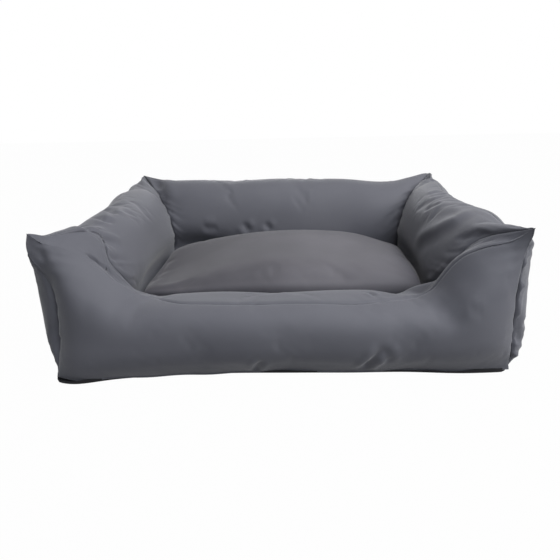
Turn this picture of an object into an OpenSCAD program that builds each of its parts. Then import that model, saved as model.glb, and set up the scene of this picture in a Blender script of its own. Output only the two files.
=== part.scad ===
// Rectangular bolster bed for a dog or a cat, with a low front and a loose cushion.
// Four stuffed walls stand on a dark base sheet and meet in mitred corner seams.
// Each wall has an outer and an inner panel, which meet in a top seam just outside
// its ridge, and a fibre filling. The seams end in a stiff peak at each corner.
// The origin is the middle of the base, +X is to the right and +Y to the back.

/* [Bed] */
// Overall width, across the swell of the side walls
bed_w = 900; // [800:10:1100]
// Overall depth, across the swell of the front and back walls
bed_l = 700; // [600:10:900]
// Height of the four corner peaks
peak_h = 270; // [250:2:320]
// How far the ridge of the back wall dips below the peaks at its middle
back_dip = 4; // [0:1:30]
// How far the ridges of the side walls dip below the peaks at their middle
side_dip = 12; // [0:1:40]
// Lowest height of the front wall, where the animal steps in
entry_h = 133; // [115:1:165]
// Width of the level, low part of the front wall
entry_w = 500; // [400:10:540]

/* [Walls] */
// Swell of the side walls past the corner seams
side_bulge = 37; // [15:1:50]
// Swell of the front and back walls past the corner seams
end_bulge = 28; // [15:1:45]
// Thickness of the side walls at the corner seams
side_t = 112; // [90:1:130]
// Thickness of the front and back walls at the corner seams
end_t = 155; // [130:1:175]
// Swell of the side walls into the bed
side_swell = 8; // [0:1:16]
// How much thinner the low front wall is than its ends
front_slim = 18; // [0:1:30]
// Distance of the ridges from the corner seams
ridge_in = 62; // [45:1:75]

/* [Fabric] */
// Thickness of the grey cover fabric with its lining
cover_t = 1.5; // [1:0.1:2.5]
// Thickness of the dark base sheet
base_t = 1.5; // [1:0.1:2.5]
// Height of the turned-up edge of the base sheet
lip_h = 7; // [5:0.5:12]
// Distance of the base sheet's edge from the corner seams
base_inset = 6; // [3:0.5:12]
// Radius of the base sheet's corners
base_corner_r = 4; // [4:0.5:8]
// Thickness of the floor sheet inside the walls
floor_t = 1; // [0.8:0.1:2]
// Gap between pieces that lie against each other
gap = 0.3; // [0.2:0.05:0.5]

/* [Cushion] */
// Height of the cushion's crown above the ground
cushion_h = 162; // [140:2:180]
// Part of that height by which its middle is fuller than its rounded edges
crown_h = 20; // [8:1:26]
// Height of the seam round the cushion
cushion_seam_h = 90; // [80:1:100]
// Gap between the cushion and the walls
cushion_gap = 1; // [0.5:0.1:3]
// Length over which the cushion falls away to its left and right ends
cushion_round_x = 110; // [90:5:120]
// Length over which it falls away to its front and back
cushion_round_y = 95; // [80:5:110]

/* [Zips] */
// Length of the zip in the back wall
cover_zip_l = 600; // [400:10:620]
// Length of the zip under the cushion
cushion_zip_l = 290; // [200:10:300]
// Height of the flat strip that carries the back zip
zip_strip_h = 26; // [24:1:32]
// Width of both zip tapes together
tape_w = 18; // [14:0.5:22]
// Thickness of a zip tape
tape_t = 0.8; // [0.5:0.1:1.2]
// Width of the closed coil chain
chain_w = 5; // [4:0.5:6]
// Thickness of the chain
chain_t = 1.6; // [1.2:0.1:2.2]
// Length of the slider
slider_l = 11; // [9:0.5:14]
// Length of the pull on the back zip
cover_pull_l = 24; // [16:1:30]
// Length of the pull on the cushion's zip
cushion_pull_l = 13; // [10:0.5:15]
// Width of a pull
pull_w = 6; // [5:0.5:7]
// Diameter of the bar that a pull hangs on
bar_d = 1.6; // [1.4:0.1:2]

/* [Hidden] */

GREY = [0.40, 0.40, 0.43];
BLACK = [0.08, 0.08, 0.09];
FIBRE = [0.93, 0.92, 0.90];
TAPE = [0.30, 0.30, 0.33];
NICKEL = [0.62, 0.62, 0.64];

// Heights of the back and side walls at their middle
back_h = peak_h - back_dip;
side_h = peak_h - side_dip;
// Corner seams at the peaks, measured from the middle of the bed
seam_x = bed_w / 2 - side_bulge;
seam_y = bed_l / 2 - end_bulge;
// Faces of the walls towards the cushion
side_face = side_t + side_swell;
front_face = end_t - front_slim;
// Level of the floor, and what stands on it
floor_z = base_t + gap;
inside_z = floor_z + floor_t + gap;
// Heights of the fullest places outside and inside, as shares of the wall's height
out_share = 0.31;
in_share = 0.43;
// The same for the low part of the front wall
entry_out_share = 0.5;
entry_in_share = 0.54;
// Share of a wall's thickness that a corner seam is drawn in between peak and foot
waist_in = 0.1;
// Place of the top seam between the outer swell (0) and the ridge (1)
top_seam = 0.8;
peak_seam = 0.95;
// Share of a wall's length that keeps its middle height
level_share = 0.8;
// Share of a wall's length that its flat lower strip takes to end at a corner
strip_end = 0.12;
// Height of that strip where it carries no zip
plain_strip = 6;
// How sudden the end of the outer swell is at a corner seam, and how much of the swell
// the walls run past the seams by
swell_power = 9;
past_seam = 0.35;
// How late the ridges leave their line for the corner peaks
side_ridge_power = 3;
end_ridge_power = 8;
// Shoulder between the outer swell and the ridge: how high its lower and its upper
// guide lie, and how far in the upper one lies, at a wall's middle and at its corners
guide_low = 0.78;
guide_high = 1;
guide_in = 0.25;
corner_low = 0.46;
corner_high = 0.84;
corner_in = 0.5;

// A wall is a list: half its length between the corner seams, distance of those
// seams from the middle of the bed, thickness at the corners and the other wall's
// there, face, swell, middle height, half the length at that height, heights of the
// fullest places outside and inside, height of its lower strip, and its ridge's power.
HALF = 0;
SEAM = 1;
THICK = 2;
OTHER = 3;
FACE = 4;
SWELL = 5;
HEIGHT = 6;
LEVEL = 7;
OUT_Z = 8;
IN_Z = 9;
STRIP = 10;
RIDGE = 11;
entry_level = entry_w / 2 * seam_x / (seam_x - ridge_in * side_t / end_t);
back_wall = [seam_x, seam_y, end_t, side_t, end_t, end_bulge, back_h, level_share * seam_x,
             out_share * back_h, in_share * back_h, zip_strip_h, end_ridge_power];
front_wall = [seam_x, seam_y, end_t, side_t, front_face, end_bulge, entry_h, entry_level,
              entry_out_share * entry_h, entry_in_share * entry_h, plain_strip, end_ridge_power];
side_wall = [seam_y, seam_x, side_t, end_t, side_face, side_bulge, side_h, level_share * seam_y,
             out_share * side_h, in_share * side_h, plain_strip, side_ridge_power];

function mix(a, b, f) = a + (b - a) * f;
function bezier(p0, p1, p2, p3, s) =
    pow(1 - s, 3) * p0 + 3 * s * pow(1 - s, 2) * p1 + 3 * s * s * (1 - s) * p2 + pow(s, 3) * p3;

// t runs from -1 to 1 along a wall. These are 1 at its middle and 0 at its corner seams:
// how full its inner face is, how far a line of it runs out before it turns in to the
// seam, and how much of its lower strip is there
function full(t) = sqrt(max(0, 1 - pow(abs(t), 6)));
function run_out(t, power) = 1 - pow(abs(t), power);
function strip_share(t) = min(1, (1 - abs(t)) / strip_end);
// How far the ridge has risen from the wall's own height to the corner peak
function rise(w, t) = pow(max(0, (abs(t) * w[HALF] - w[LEVEL]) / (w[HALF] - w[LEVEL])), 1.3);
// Place s on the shoulder, with the top seam's own place moved up to the peaks
function shoulder(s, r) =
    let (seam = mix(top_seam, peak_seam, min(1, 3 * r)))
    s <= top_seam ? s * seam / top_seam : mix(seam, 1, (s - top_seam) / (1 - top_seam));

// Section of wall w at t, drawn in by d, and at its foot by foot from the base
// sheet's edge. q goes from 0 at the outer base over the swell (2) and the ridge (3)
// to the inner face (4) and the inner base (5).
// The result is the distance inwards from the corner seams, and the height.
function section(w, t, q, d, foot, z_base) =
    let (
        f = full(t), r = rise(w, t),
        n_base = (base_inset + foot) * mix(w[THICK] / side_t, 1, strip_share(t)),
        n_out = mix(waist_in * w[THICK], -w[SWELL], run_out(t, swell_power)) + d,
        n_ridge = mix(d, ridge_in, run_out(t, w[RIDGE])),
        n_in = mix(w[THICK], w[FACE], f) - d,
        z_strip = lip_h + mix(plain_strip, w[STRIP], strip_share(t)),
        z_out = mix(w[OUT_Z], out_share * peak_h, r),
        z_in = mix(w[IN_Z], in_share * peak_h, r),
        z_ridge = mix(w[HEIGHT], peak_h, r) - d,
        roll = n_in - n_ridge, drop = z_ridge - z_in
    )
    q <= 1 ? [n_base, mix(z_base, z_strip, q)]
    : q <= 2 ? bezier([n_base, z_strip],
                      [mix(n_base, n_out, 0.6), mix(z_strip, z_out, 0.1)],
                      [n_out, mix(z_strip, z_out, 0.5)],
                      [n_out, z_out], q - 1)
    : q <= 3 ? bezier([n_out, z_out],
                      [n_out, mix(z_out, z_ridge, mix(corner_low, guide_low, f))],
                      [mix(n_out, n_ridge, mix(corner_in, guide_in, f)),
                       mix(z_out, z_ridge, mix(corner_high, guide_high, f))],
                      [n_ridge, z_ridge], shoulder(q - 2, r))
    : q <= 4 ? bezier([n_ridge, z_ridge],
                      [n_ridge + mix(0.31, 0.6, f) * roll, z_ridge - mix(0.155, 0, f) * drop],
                      [n_in, z_in + 0.6 * drop],
                      [n_in, z_in], q - 3)
    : [n_in, mix(z_in, inside_z, q - 4)];

// Point of wall w with its outside facing +Y. The walls end half a gap before the
// planes in which they meet.
function wall_point(w, t, q, d, foot, z_base) =
    let (s = section(w, t, q, d, foot, z_base), n = s[0] > 0 ? s[0] : past_seam * s[0])
    [t * (w[HALF] - n * w[OTHER] / w[THICK] - gap / 2), w[SEAM] - s[0], s[1]];

// Steps along a wall, closer together towards its ends
wall_n = 18;
wall_steps = [for (i = [0:wall_n]) let (x = 2 * i / wall_n - 1) mix(x, sin(90 * x), 0.7)];
// Steps round a section, with the top seam between the outer and the inner ones
seam_q = 2 + top_seam;
outer_steps = [0, 1, 1.5, 2, 2.3, 2.55];
inner_steps = [3, 3.2, 3.4, 3.6, 3.8, 4, 5];
// A share of the shoulder that is about half a gap wide
seam_cut = 0.003;

// The two triangles of a four-cornered face, cut from its first corner or its second
function halves(a, b, c, d, second) = second ? [[a, b, d], [b, c, d]] : [[a, b, c], [a, c, d]];

// Closed solid between two grids of points that have the same rows and columns. Where
// corners is true, the grid's four corner faces are cut through the corner itself.
module sheet(outside, inside, corners = false) {
    rows = len(outside);
    cols = len(outside[0]);
    k = rows * cols;
    function at(i, j) = i * cols + j;
    function second(i, j) = corners && (i < (rows - 1) / 2) != (j < (cols - 1) / 2);
    edge = concat(
        [for (j = [0:cols - 2]) at(0, j)],
        [for (i = [0:rows - 2]) at(i, cols - 1)],
        [for (j = [cols - 1:-1:1]) at(rows - 1, j)],
        [for (i = [rows - 1:-1:1]) at(i, 0)]
    );
    m = len(edge);
    top = [for (i = [0:rows - 2]) for (j = [0:cols - 2])
        each halves(at(i, j), at(i + 1, j), at(i + 1, j + 1), at(i, j + 1), second(i, j))];
    polyhedron(
        points = concat([for (r = outside) each r], [for (r = inside) each r]),
        faces = concat(
            top,
            [for (f = top) [k + f[0], k + f[2], k + f[1]]],
            [for (e = [0:m - 1]) each
                let (p = edge[e], n = edge[(e + 1) % m])
                [[p, n, k + n], [p, k + n, k + p]]]
        ),
        convexity = 6
    );
}

// Closed solid through rings of points, with a fan at each end
module rings_solid(rings) {
    count = len(rings);
    m = len(rings[0]);
    function centre(r) = [for (a = [0:2]) [for (p = r) p[a]] * [for (p = r) 1] / m];
    function at(i, j) = i * m + j % m;
    first = count * m;
    polyhedron(
        points = concat([for (r = rings) each r], [centre(rings[0]), centre(rings[count - 1])]),
        faces = concat(
            [for (i = [0:count - 2]) for (j = [0:m - 1]) each
                halves(at(i, j), at(i + 1, j), at(i + 1, j + 1), at(i, j + 1), false)],
            [for (j = [0:m - 1]) [at(0, j), at(0, j + 1), first]],
            [for (j = [0:m - 1]) [at(count - 1, j + 1), at(count - 1, j), first + 1]]
        ),
        convexity = 6
    );
}

function wall_grid(w, steps, d) =
    [for (t = wall_steps) [for (q = steps) wall_point(w, t, q, d, d, lip_h + gap)]];

module panel(w, steps) {
    color(GREY) sheet(wall_grid(w, steps, 0), wall_grid(w, steps, cover_t));
}

module outer_panel(w) { panel(w, concat(outer_steps, [seam_q - seam_cut])); }
module inner_panel(w) { panel(w, concat([seam_q + seam_cut], inner_steps)); }

module wall_fill(w) {
    steps = concat(outer_steps, [seam_q], inner_steps);
    foot = max(cover_t, base_t) + gap;
    color(FIBRE) rings_solid([for (t = wall_steps)
        [for (q = steps) wall_point(w, t, q, cover_t + gap, foot, inside_z)]]);
}

module to_left() { rotate([0, 0, 90]) children(); }
module to_front() { rotate([0, 0, 180]) children(); }
module to_right() { rotate([0, 0, 270]) children(); }

module back_outer_panel() { outer_panel(back_wall); }
module back_inner_panel() { inner_panel(back_wall); }
module back_fill() { wall_fill(back_wall); }
module left_outer_panel() { to_left() outer_panel(side_wall); }
module left_inner_panel() { to_left() inner_panel(side_wall); }
module left_fill() { to_left() wall_fill(side_wall); }
module right_outer_panel() { to_right() outer_panel(side_wall); }
module right_inner_panel() { to_right() inner_panel(side_wall); }
module right_fill() { to_right() wall_fill(side_wall); }
module front_outer_panel() { to_front() outer_panel(front_wall); }
module front_inner_panel() { to_front() inner_panel(front_wall); }
module front_fill() { to_front() wall_fill(front_wall); }

// Plate with round corners whose edge lies inset from the base sheet's
module base_plate(inset, h) {
    x = seam_x - base_inset - inset;
    y = seam_y - base_inset - inset;
    r = base_corner_r - inset;
    linear_extrude(h) {
        square([2 * x, 2 * (y - r)], center = true);
        square([2 * (x - r), 2 * y], center = true);
        for (i = [-1, 1]) for (j = [-1, 1]) translate([i * (x - r), j * (y - r)]) circle(r, $fn = 32);
    }
}

// Dark sheet under the whole bed, with its edge turned up to the outer panels
module base_sheet() {
    color(BLACK) difference() {
        base_plate(0, lip_h);
        translate([0, 0, base_t]) base_plate(base_t, lip_h);
    }
}

// Grey sheet on the base sheet, under the walls' filling and the cushion
module floor_sheet() {
    color(GREY) translate([0, 0, floor_z]) base_plate(base_t + gap, floor_t);
}

// The cushion is level in the middle and falls away to a round-cornered seam, over a
// foot that is flat in the middle too
cushion_x = seam_x - side_face - cushion_gap;
cushion_back = seam_y - end_t - cushion_gap;
cushion_front = -(seam_y - front_face) + cushion_gap;
cushion_y = (cushion_back - cushion_front) / 2;
cushion_mid = (cushion_back + cushion_front) / 2;
// Shares of its half length and half width that are level
keep_x = 1 - cushion_round_x / cushion_x;
keep_y = 1 - cushion_round_y / cushion_y;
// Roundness of the fall on the crown and underneath
crown_power = 2.3;
foot_power = 3;
// Steps from the level part (0) out to the seam (1). The zip lies between two of them.
zip_from = 0.65;
zip_to = 0.87;
rim_steps = [0, 0.4, zip_from, zip_to, 1];

// Half the height of the filling's edge at the seam
fill_edge = 0.4;

function rim(keep) = [for (e = rim_steps) mix(keep, 1, e)];
function mirrored(v) = concat([for (i = [len(v) - 1:-1:0]) -v[i]], [0], v);
u_steps = mirrored(concat([keep_x / 2], rim(keep_x)));
v_steps = mirrored(rim(keep_y));

function fall(rho, power) = pow(1 - pow(rho, power), 1 / power);
// Point of the cushion drawn in by d, and by part from the seam's level: side is 1 on
// the crown and -1 underneath
function cushion_point(u, v, d, side, part) =
    let (
        a = max(0, (abs(u) - keep_x) / (1 - keep_x)),
        b = max(0, (abs(v) - keep_y) / (1 - keep_y)),
        ra = a * sqrt(1 - b * b / 2),
        rb = b * sqrt(1 - a * a / 2),
        rho = min(1, norm([ra, rb])),
        flat_x = min(abs(u), keep_x) * cushion_x,
        flat_y = min(abs(v), keep_y) * cushion_y,
        x = sign(u) * (flat_x + ra * (cushion_round_x - d)),
        y = sign(v) * (flat_y + rb * (cushion_round_y - d)),
        dome = crown_h * (1 - pow(x / cushion_x, 2)) * (1 - pow(y / cushion_y, 2)),
        up = cushion_h - crown_h - cushion_seam_h - part - d,
        down = cushion_seam_h - inside_z - part - d
    )
    [x, cushion_mid + y, side > 0
        ? cushion_seam_h + part + up * fall(rho, crown_power) + dome * sqrt(1 - pow(rho, 4))
        : cushion_seam_h - part - down * fall(rho, foot_power)];

function cushion_grid(d, side, part) =
    [for (u = u_steps) [for (v = v_steps) cushion_point(u, v, d, side, part)]];

module cushion_top_panel() {
    color(GREY) sheet(cushion_grid(cover_t, 1, gap / 2), cushion_grid(0, 1, gap / 2), corners = true);
}

module cushion_bottom_panel() {
    color(GREY) sheet(cushion_grid(0, -1, gap / 2), cushion_grid(cover_t, -1, gap / 2), corners = true);
}

module cushion_fill() {
    d = cover_t + gap;
    color(FIBRE) sheet(cushion_grid(d, -1, fill_edge), cushion_grid(d, 1, fill_edge), corners = true);
}

// Zip along X with its face towards +Y and the tapes' backs at y = 0
tape_gap = 0.4;
stop_l = 2.5;
// Play of the slider on the chain, its top plate and the flanges at its sides
play = 0.25;
plate_t = 1;
flange_t = 0.8;
slider_w = chain_w + 2 * (play + flange_t);
plate_y = tape_t + chain_t + play;
// The pull's eye, with its wall and running clearance, and how high it hangs
eye_w = 3;
eye_wall = 0.9;
eye_play = 0.06;
eye_lift = 0.5;
pull_bore_d = bar_d + 2 * eye_play;
pull_eye_d = bar_d + 2 * eye_wall;
bar_y = plate_y + plate_t + eye_lift + pull_eye_d / 2;
post_t = 0.8;
// The pull's tab, which widens clear of the slider's posts
pull_t = 1.4;
neck_l = slider_w / 2 + 1;

module zip_tapes(length) {
    w = (tape_w - tape_gap) / 2;
    color(TAPE) for (z = [tape_gap / 2, -tape_gap / 2 - w])
        translate([-length / 2, 0, z]) cube([length, tape_t, w]);
}

module zip_chain(length) {
    color(TAPE) translate([-length / 2 + stop_l, tape_t, -chain_w / 2])
        cube([length - 2 * stop_l, chain_t, chain_w]);
}

module zip_stops(length) {
    color(NICKEL) for (x = [-length / 2, length / 2 - stop_l])
        translate([x, tape_t, -chain_w / 2]) cube([stop_l, chain_t + plate_t, chain_w]);
}

// Channel that runs over the chain, with two posts and a bar for the pull
module zip_slider() {
    post_h = bar_y + bar_d / 2 - plate_y;
    color(NICKEL) {
        translate([-slider_l / 2, plate_y, -slider_w / 2]) cube([slider_l, plate_t, slider_w]);
        for (s = [-1, 1]) {
            translate([-slider_l / 2, tape_t + play, s > 0 ? slider_w / 2 - flange_t : -slider_w / 2])
                cube([slider_l, plate_y - tape_t - play, flange_t]);
            translate([-bar_d / 2, plate_y, s > 0 ? eye_w / 2 + play : -eye_w / 2 - play - post_t])
                cube([bar_d, post_h, post_t]);
        }
        translate([0, bar_y, -eye_w / 2 - play - post_t])
            cylinder(d = bar_d, h = eye_w + 2 * (play + post_t), $fn = 32);
    }
}

// Flat tab with an eye round the slider's bar, lying along +X
module zip_pull(length) {
    color(NICKEL) translate([0, bar_y, 0]) difference() {
        union() {
            translate([0, 0, -eye_w / 2]) cylinder(d = pull_eye_d, h = eye_w, $fn = 32);
            translate([0, -pull_t / 2, -eye_w / 2]) cube([neck_l + 1, pull_t, eye_w]);
            translate([neck_l, -pull_t / 2, -pull_w / 2]) cube([length - neck_l, pull_t, pull_w]);
        }
        translate([0, 0, -eye_w / 2 - 1]) cylinder(d = pull_bore_d, h = eye_w + 2, $fn = 32);
    }
}

// A closed zip has its slider at the right-hand stop
module at_slider(length) {
    translate([length / 2 - stop_l - slider_l / 2 - gap, 0, 0]) children();
}

module at_cover_zip() {
    translate([0, seam_y - base_inset, lip_h + gap + zip_strip_h / 2]) children();
}

// The cushion's zip lies on the flat stretch between two steps of its underside
zip_low = cushion_point(0, mix(keep_y, 1, zip_from), 0, -1, gap / 2);
zip_high = cushion_point(0, mix(keep_y, 1, zip_to), 0, -1, gap / 2);
module at_cushion_zip() {
    run = zip_high - zip_low;
    translate((zip_low + zip_high) / 2)
        rotate([-atan2(run[1], run[2]), 0, 0]) children();
}

module cover_zip_tapes() { at_cover_zip() zip_tapes(cover_zip_l); }
module cover_zip_chain() { at_cover_zip() zip_chain(cover_zip_l); }
module cover_zip_stops() { at_cover_zip() zip_stops(cover_zip_l); }
module cover_zip_slider() { at_cover_zip() at_slider(cover_zip_l) zip_slider(); }
module cover_zip_pull() { at_cover_zip() at_slider(cover_zip_l) zip_pull(cover_pull_l); }
module cushion_zip_tapes() { at_cushion_zip() zip_tapes(cushion_zip_l); }
module cushion_zip_chain() { at_cushion_zip() zip_chain(cushion_zip_l); }
module cushion_zip_stops() { at_cushion_zip() zip_stops(cushion_zip_l); }
module cushion_zip_slider() { at_cushion_zip() at_slider(cushion_zip_l) zip_slider(); }
module cushion_zip_pull() { at_cushion_zip() at_slider(cushion_zip_l) zip_pull(cushion_pull_l); }

base_sheet();
floor_sheet();
back_outer_panel();
back_inner_panel();
left_outer_panel();
left_inner_panel();
right_outer_panel();
right_inner_panel();
front_outer_panel();
front_inner_panel();
back_fill();
left_fill();
right_fill();
front_fill();
cover_zip_tapes();
cover_zip_chain();
cover_zip_stops();
cover_zip_slider();
cover_zip_pull();
cushion_top_panel();
cushion_bottom_panel();
cushion_fill();
cushion_zip_tapes();
cushion_zip_chain();
cushion_zip_stops();
cushion_zip_slider();
cushion_zip_pull();
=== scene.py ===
import math
import bpy
import numpy as np
from mathutils import Matrix, Vector


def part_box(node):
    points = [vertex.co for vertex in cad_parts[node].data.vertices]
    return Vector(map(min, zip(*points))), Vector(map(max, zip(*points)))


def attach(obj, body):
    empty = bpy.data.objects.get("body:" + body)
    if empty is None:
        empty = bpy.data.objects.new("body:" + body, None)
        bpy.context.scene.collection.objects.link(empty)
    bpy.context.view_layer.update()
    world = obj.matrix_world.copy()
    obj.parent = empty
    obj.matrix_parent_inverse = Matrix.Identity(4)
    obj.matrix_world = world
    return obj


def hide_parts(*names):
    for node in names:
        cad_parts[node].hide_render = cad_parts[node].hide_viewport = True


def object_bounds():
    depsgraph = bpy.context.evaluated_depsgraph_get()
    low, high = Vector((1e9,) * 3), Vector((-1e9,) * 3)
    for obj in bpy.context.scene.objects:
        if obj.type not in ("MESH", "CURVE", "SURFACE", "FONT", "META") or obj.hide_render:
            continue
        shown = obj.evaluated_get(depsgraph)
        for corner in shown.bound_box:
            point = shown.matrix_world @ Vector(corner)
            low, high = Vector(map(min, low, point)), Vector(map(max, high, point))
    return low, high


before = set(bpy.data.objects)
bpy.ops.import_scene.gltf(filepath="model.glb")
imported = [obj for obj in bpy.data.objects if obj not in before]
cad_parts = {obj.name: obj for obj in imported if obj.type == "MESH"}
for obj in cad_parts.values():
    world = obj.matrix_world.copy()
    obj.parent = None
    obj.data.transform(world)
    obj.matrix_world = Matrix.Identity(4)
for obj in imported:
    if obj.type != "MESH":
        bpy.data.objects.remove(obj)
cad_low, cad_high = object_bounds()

scene = bpy.context.scene
scene.view_settings.view_transform = "Standard"


# Camera
# The bed was photographed from in front of it and from above, a little to the right of
# its middle, with the camera turned slightly to the left and hardly tilted.
EYE = Vector((0.0350, -1.0727, 0.4640))
TURN = math.radians(-2.33)
DOWN = math.radians(20.41)
TILT = math.radians(1.29)
FOCAL = 30.48
SENSOR = 36.0
FAR_CLIP = 50

ahead = Vector((math.sin(TURN) * math.cos(DOWN), math.cos(TURN) * math.cos(DOWN),
                -math.sin(DOWN)))
level_right = Vector((math.cos(TURN), -math.sin(TURN), 0.0))
level_down = ahead.cross(level_right)
right = math.cos(TILT) * level_right + math.sin(TILT) * level_down
up = math.sin(TILT) * level_right - math.cos(TILT) * level_down
lens = bpy.data.cameras.new("camera")
lens.lens = FOCAL
lens.sensor_width = SENSOR
lens.clip_end = FAR_CLIP
camera = bpy.data.objects.new("camera", lens)
scene.collection.objects.link(camera)
camera.matrix_world = Matrix((right, up, -ahead)).transposed().to_4x4()
camera.location = EYE
scene.camera = camera


# Cover fabric
# Smooth dark grey polyester in a plain weave, with a fine grain of dark and light
# threads and a faint sheen. The same cloth covers the walls and the cushion.
CLOTH = (0.118, 0.119, 0.139)
CLOTH_DUSTY = (0.150, 0.151, 0.172)
CLOTH_ROUGH = 0.5
CLOTH_SPECULAR = 0.12
SHEEN_ROUGH = 0.4
THREAD = 0.0011
THREAD_RELIEF = 0.6
SLUB_SCALE = 900.0
# Patches of wear: how many to a metre, the noise between which they set in, how much of
# the dusty colour they take at most, and how much rougher they are
WEAR_SCALE = 7.0
WEAR_FROM, WEAR_TO = 0.35, 0.70
WEAR_MOST = 0.6
WEAR_ROUGHER = 0.1


def put_in(node, values):
    """Node with numbers, colours or other nodes' outputs put into its inputs."""
    for label, value in values.items():
        if isinstance(value, bpy.types.NodeSocket):
            node.id_data.links.new(value, node.inputs[label])
        else:
            node.inputs[label].default_value = value
    return node


def add_node(tree, kind, values=None):
    """New shader node with values in its inputs."""
    return put_in(tree.nodes.new(f"ShaderNode{kind}"), values or {})


def math_node(tree, operation, *values):
    """Output of a math node on sockets or numbers."""
    node = add_node(tree, "Math", dict(enumerate(values)))
    node.operation = operation
    return node.outputs[0]


def mix_node(tree, share, first, second):
    """Output of a node that mixes two colours."""
    node = add_node(tree, "Mix")
    node.data_type = "RGBA"
    return put_in(node, {"Factor": share, 6: first, 7: second}).outputs[2]


def new_group(name, inputs, outputs):
    """Shader node group with its input and output nodes; sockets are (name, type, value)."""
    group = bpy.data.node_groups.new(name, "ShaderNodeTree")
    for label, kind, value in inputs:
        socket = group.interface.new_socket(label, in_out="INPUT", socket_type=kind)
        socket.default_value = value
    for label, kind in outputs:
        group.interface.new_socket(label, in_out="OUTPUT", socket_type=kind)
    return group, group.nodes.new("NodeGroupInput"), group.nodes.new("NodeGroupOutput")


def add_group(tree, group, values):
    """Group placed in a material with its own values."""
    node = add_node(tree, "Group")
    node.node_tree = group
    return put_in(node, values)


def new_material(name):
    """Material, its node tree and its Principled shader."""
    material = bpy.data.materials.new(name)
    material.use_nodes = True
    return material, material.node_tree, material.node_tree.nodes["Principled BSDF"]


def plain_weave():
    """Over and under of a plain weave on the map of the cut cloth, in metres."""
    group, into, out = new_group(
        "plain_weave",
        [("Thread", "NodeSocketFloat", THREAD), ("Slub", "NodeSocketFloat", 0.5)],
        [("Height", "NodeSocketFloat"), ("Mask", "NodeSocketFloat")],
    )
    cut = add_node(group, "UVMap")
    cut.uv_map = "cut"
    axes = add_node(group, "SeparateXYZ", {0: cut.outputs[0]})
    turns = []
    for axis in ("X", "Y"):
        steps = math_node(group, "DIVIDE", axes.outputs[axis], into.outputs["Thread"])
        turns.append(math_node(group, "SINE", math_node(group, "MULTIPLY", steps, math.pi)))
    cross = math_node(group, "MULTIPLY", math_node(group, "MULTIPLY", *turns), 0.5)
    slubs = add_node(group, "TexNoise",
                     {"Vector": cut.outputs[0], "Scale": SLUB_SCALE, "Detail": 3.0})
    mask = math_node(group, "MULTIPLY", slubs.outputs[0], into.outputs["Slub"])
    put_in(out, {"Height": math_node(group, "ADD", cross, 0.5), "Mask": mask})
    return group


def wear():
    """Broad, faint patches where handling has worn or dusted the cloth."""
    group, into, out = new_group(
        "wear",
        [("Clean", "NodeSocketColor", (*CLOTH, 1.0)), ("Dusty", "NodeSocketColor", (*CLOTH, 1.0)),
         ("Scale", "NodeSocketFloat", WEAR_SCALE), ("Slubs and painted shade", "NodeSocketFloat", 0.0)],
        [("Color", "NodeSocketColor"), ("Rough", "NodeSocketFloat")],
    )
    place = add_node(group, "TexCoord").outputs["Object"]
    noise = add_node(group, "TexNoise",
                     {"Vector": place, "Scale": into.outputs["Scale"], "Detail": 4.0})
    patch = add_node(group, "MapRange", {"Value": noise.outputs[0], "From Min": WEAR_FROM,
                                         "From Max": WEAR_TO}).outputs[0]
    # The mask put in adds to the patches: the weave's slubs, and on the cushion a painted shade
    # along x
    share = math_node(group, "ADD", patch, into.outputs["Slubs and painted shade"])
    color = mix_node(group, math_node(group, "MULTIPLY", share, WEAR_MOST),
                     into.outputs["Clean"], into.outputs["Dusty"])
    rough = math_node(group, "MULTIPLY", patch, WEAR_ROUGHER)
    put_in(out, {"Color": color, "Rough": math_node(group, "ADD", rough, CLOTH_ROUGH)})
    return group


WEAVE = plain_weave()
WEAR = wear()


def cloth_material(name, color, dusty, thread=THREAD, depth=0.0002, sheen=0.25, painted_shade=None):
    """Woven cloth: patches of wear over the weave's colour, grain and bump. A shade along x may be
    painted into its colour as well, given as the x from where it lifts to where it is lightest, and
    the shares of the lighter colour there."""
    material, tree, shader = new_material(name)
    weave = add_group(tree, WEAVE, {"Thread": thread})
    mask = weave.outputs["Mask"]
    # Painted shade: the colour is darker at low x and leans towards the lighter one as x grows
    if painted_shade:
        place = add_node(tree, "TexCoord").outputs["Object"]
        along = add_node(tree, "SeparateXYZ", {0: place}).outputs["X"]
        share = add_node(tree, "MapRange", {"Value": along, **painted_shade})
        share.interpolation_type = "SMOOTHSTEP"
        mask = math_node(tree, "ADD", mask, share.outputs[0])
    patches = add_group(tree, WEAR, {"Clean": (*color, 1.0), "Dusty": (*dusty, 1.0),
                                     "Slubs and painted shade": mask})
    bump = add_node(tree, "Bump", {"Distance": depth, "Strength": THREAD_RELIEF,
                                   "Height": weave.outputs["Height"]})
    put_in(shader, {"Base Color": patches.outputs["Color"], "Roughness": patches.outputs["Rough"],
                    "Normal": bump.outputs[0], "Sheen Weight": sheen,
                    "Sheen Roughness": SHEEN_ROUGH, "Specular IOR Level": CLOTH_SPECULAR})
    return material


grey_cloth = cloth_material("cover_fabric", CLOTH, CLOTH_DUSTY)


# Walls
# Four long pillows of the grey cloth. Each has an outer panel and an inner panel,
# sewn together just outside the ridge and to the next wall's panels at the corners,
# where the seams end in a stiff peak. Loose fibre fills them tightly.

# Swell beyond the corner seams, and thickness from these to the inner face
SIDE_BULGE = 0.037
END_BULGE = 0.028
SIDE_T = 0.112
END_T = 0.155
SIDE_SWELL = 0.008
FRONT_SLIM = 0.018
RIDGE_IN = 0.062
# Heights of the ridges and, as shares of them, of the fullest place outside and inside
BACK_H = 0.266
SIDE_H = 0.258
ENTRY_H = 0.133
PEAK_Z = cad_high.z
OUT_SHARE, IN_SHARE = 0.31, 0.43
ENTRY_OUT_SHARE, ENTRY_IN_SHARE = 0.5, 0.54
# Share of the back's and sides' half length at which the ridge starts to rise
LEVEL_SHARE = 0.8
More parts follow.
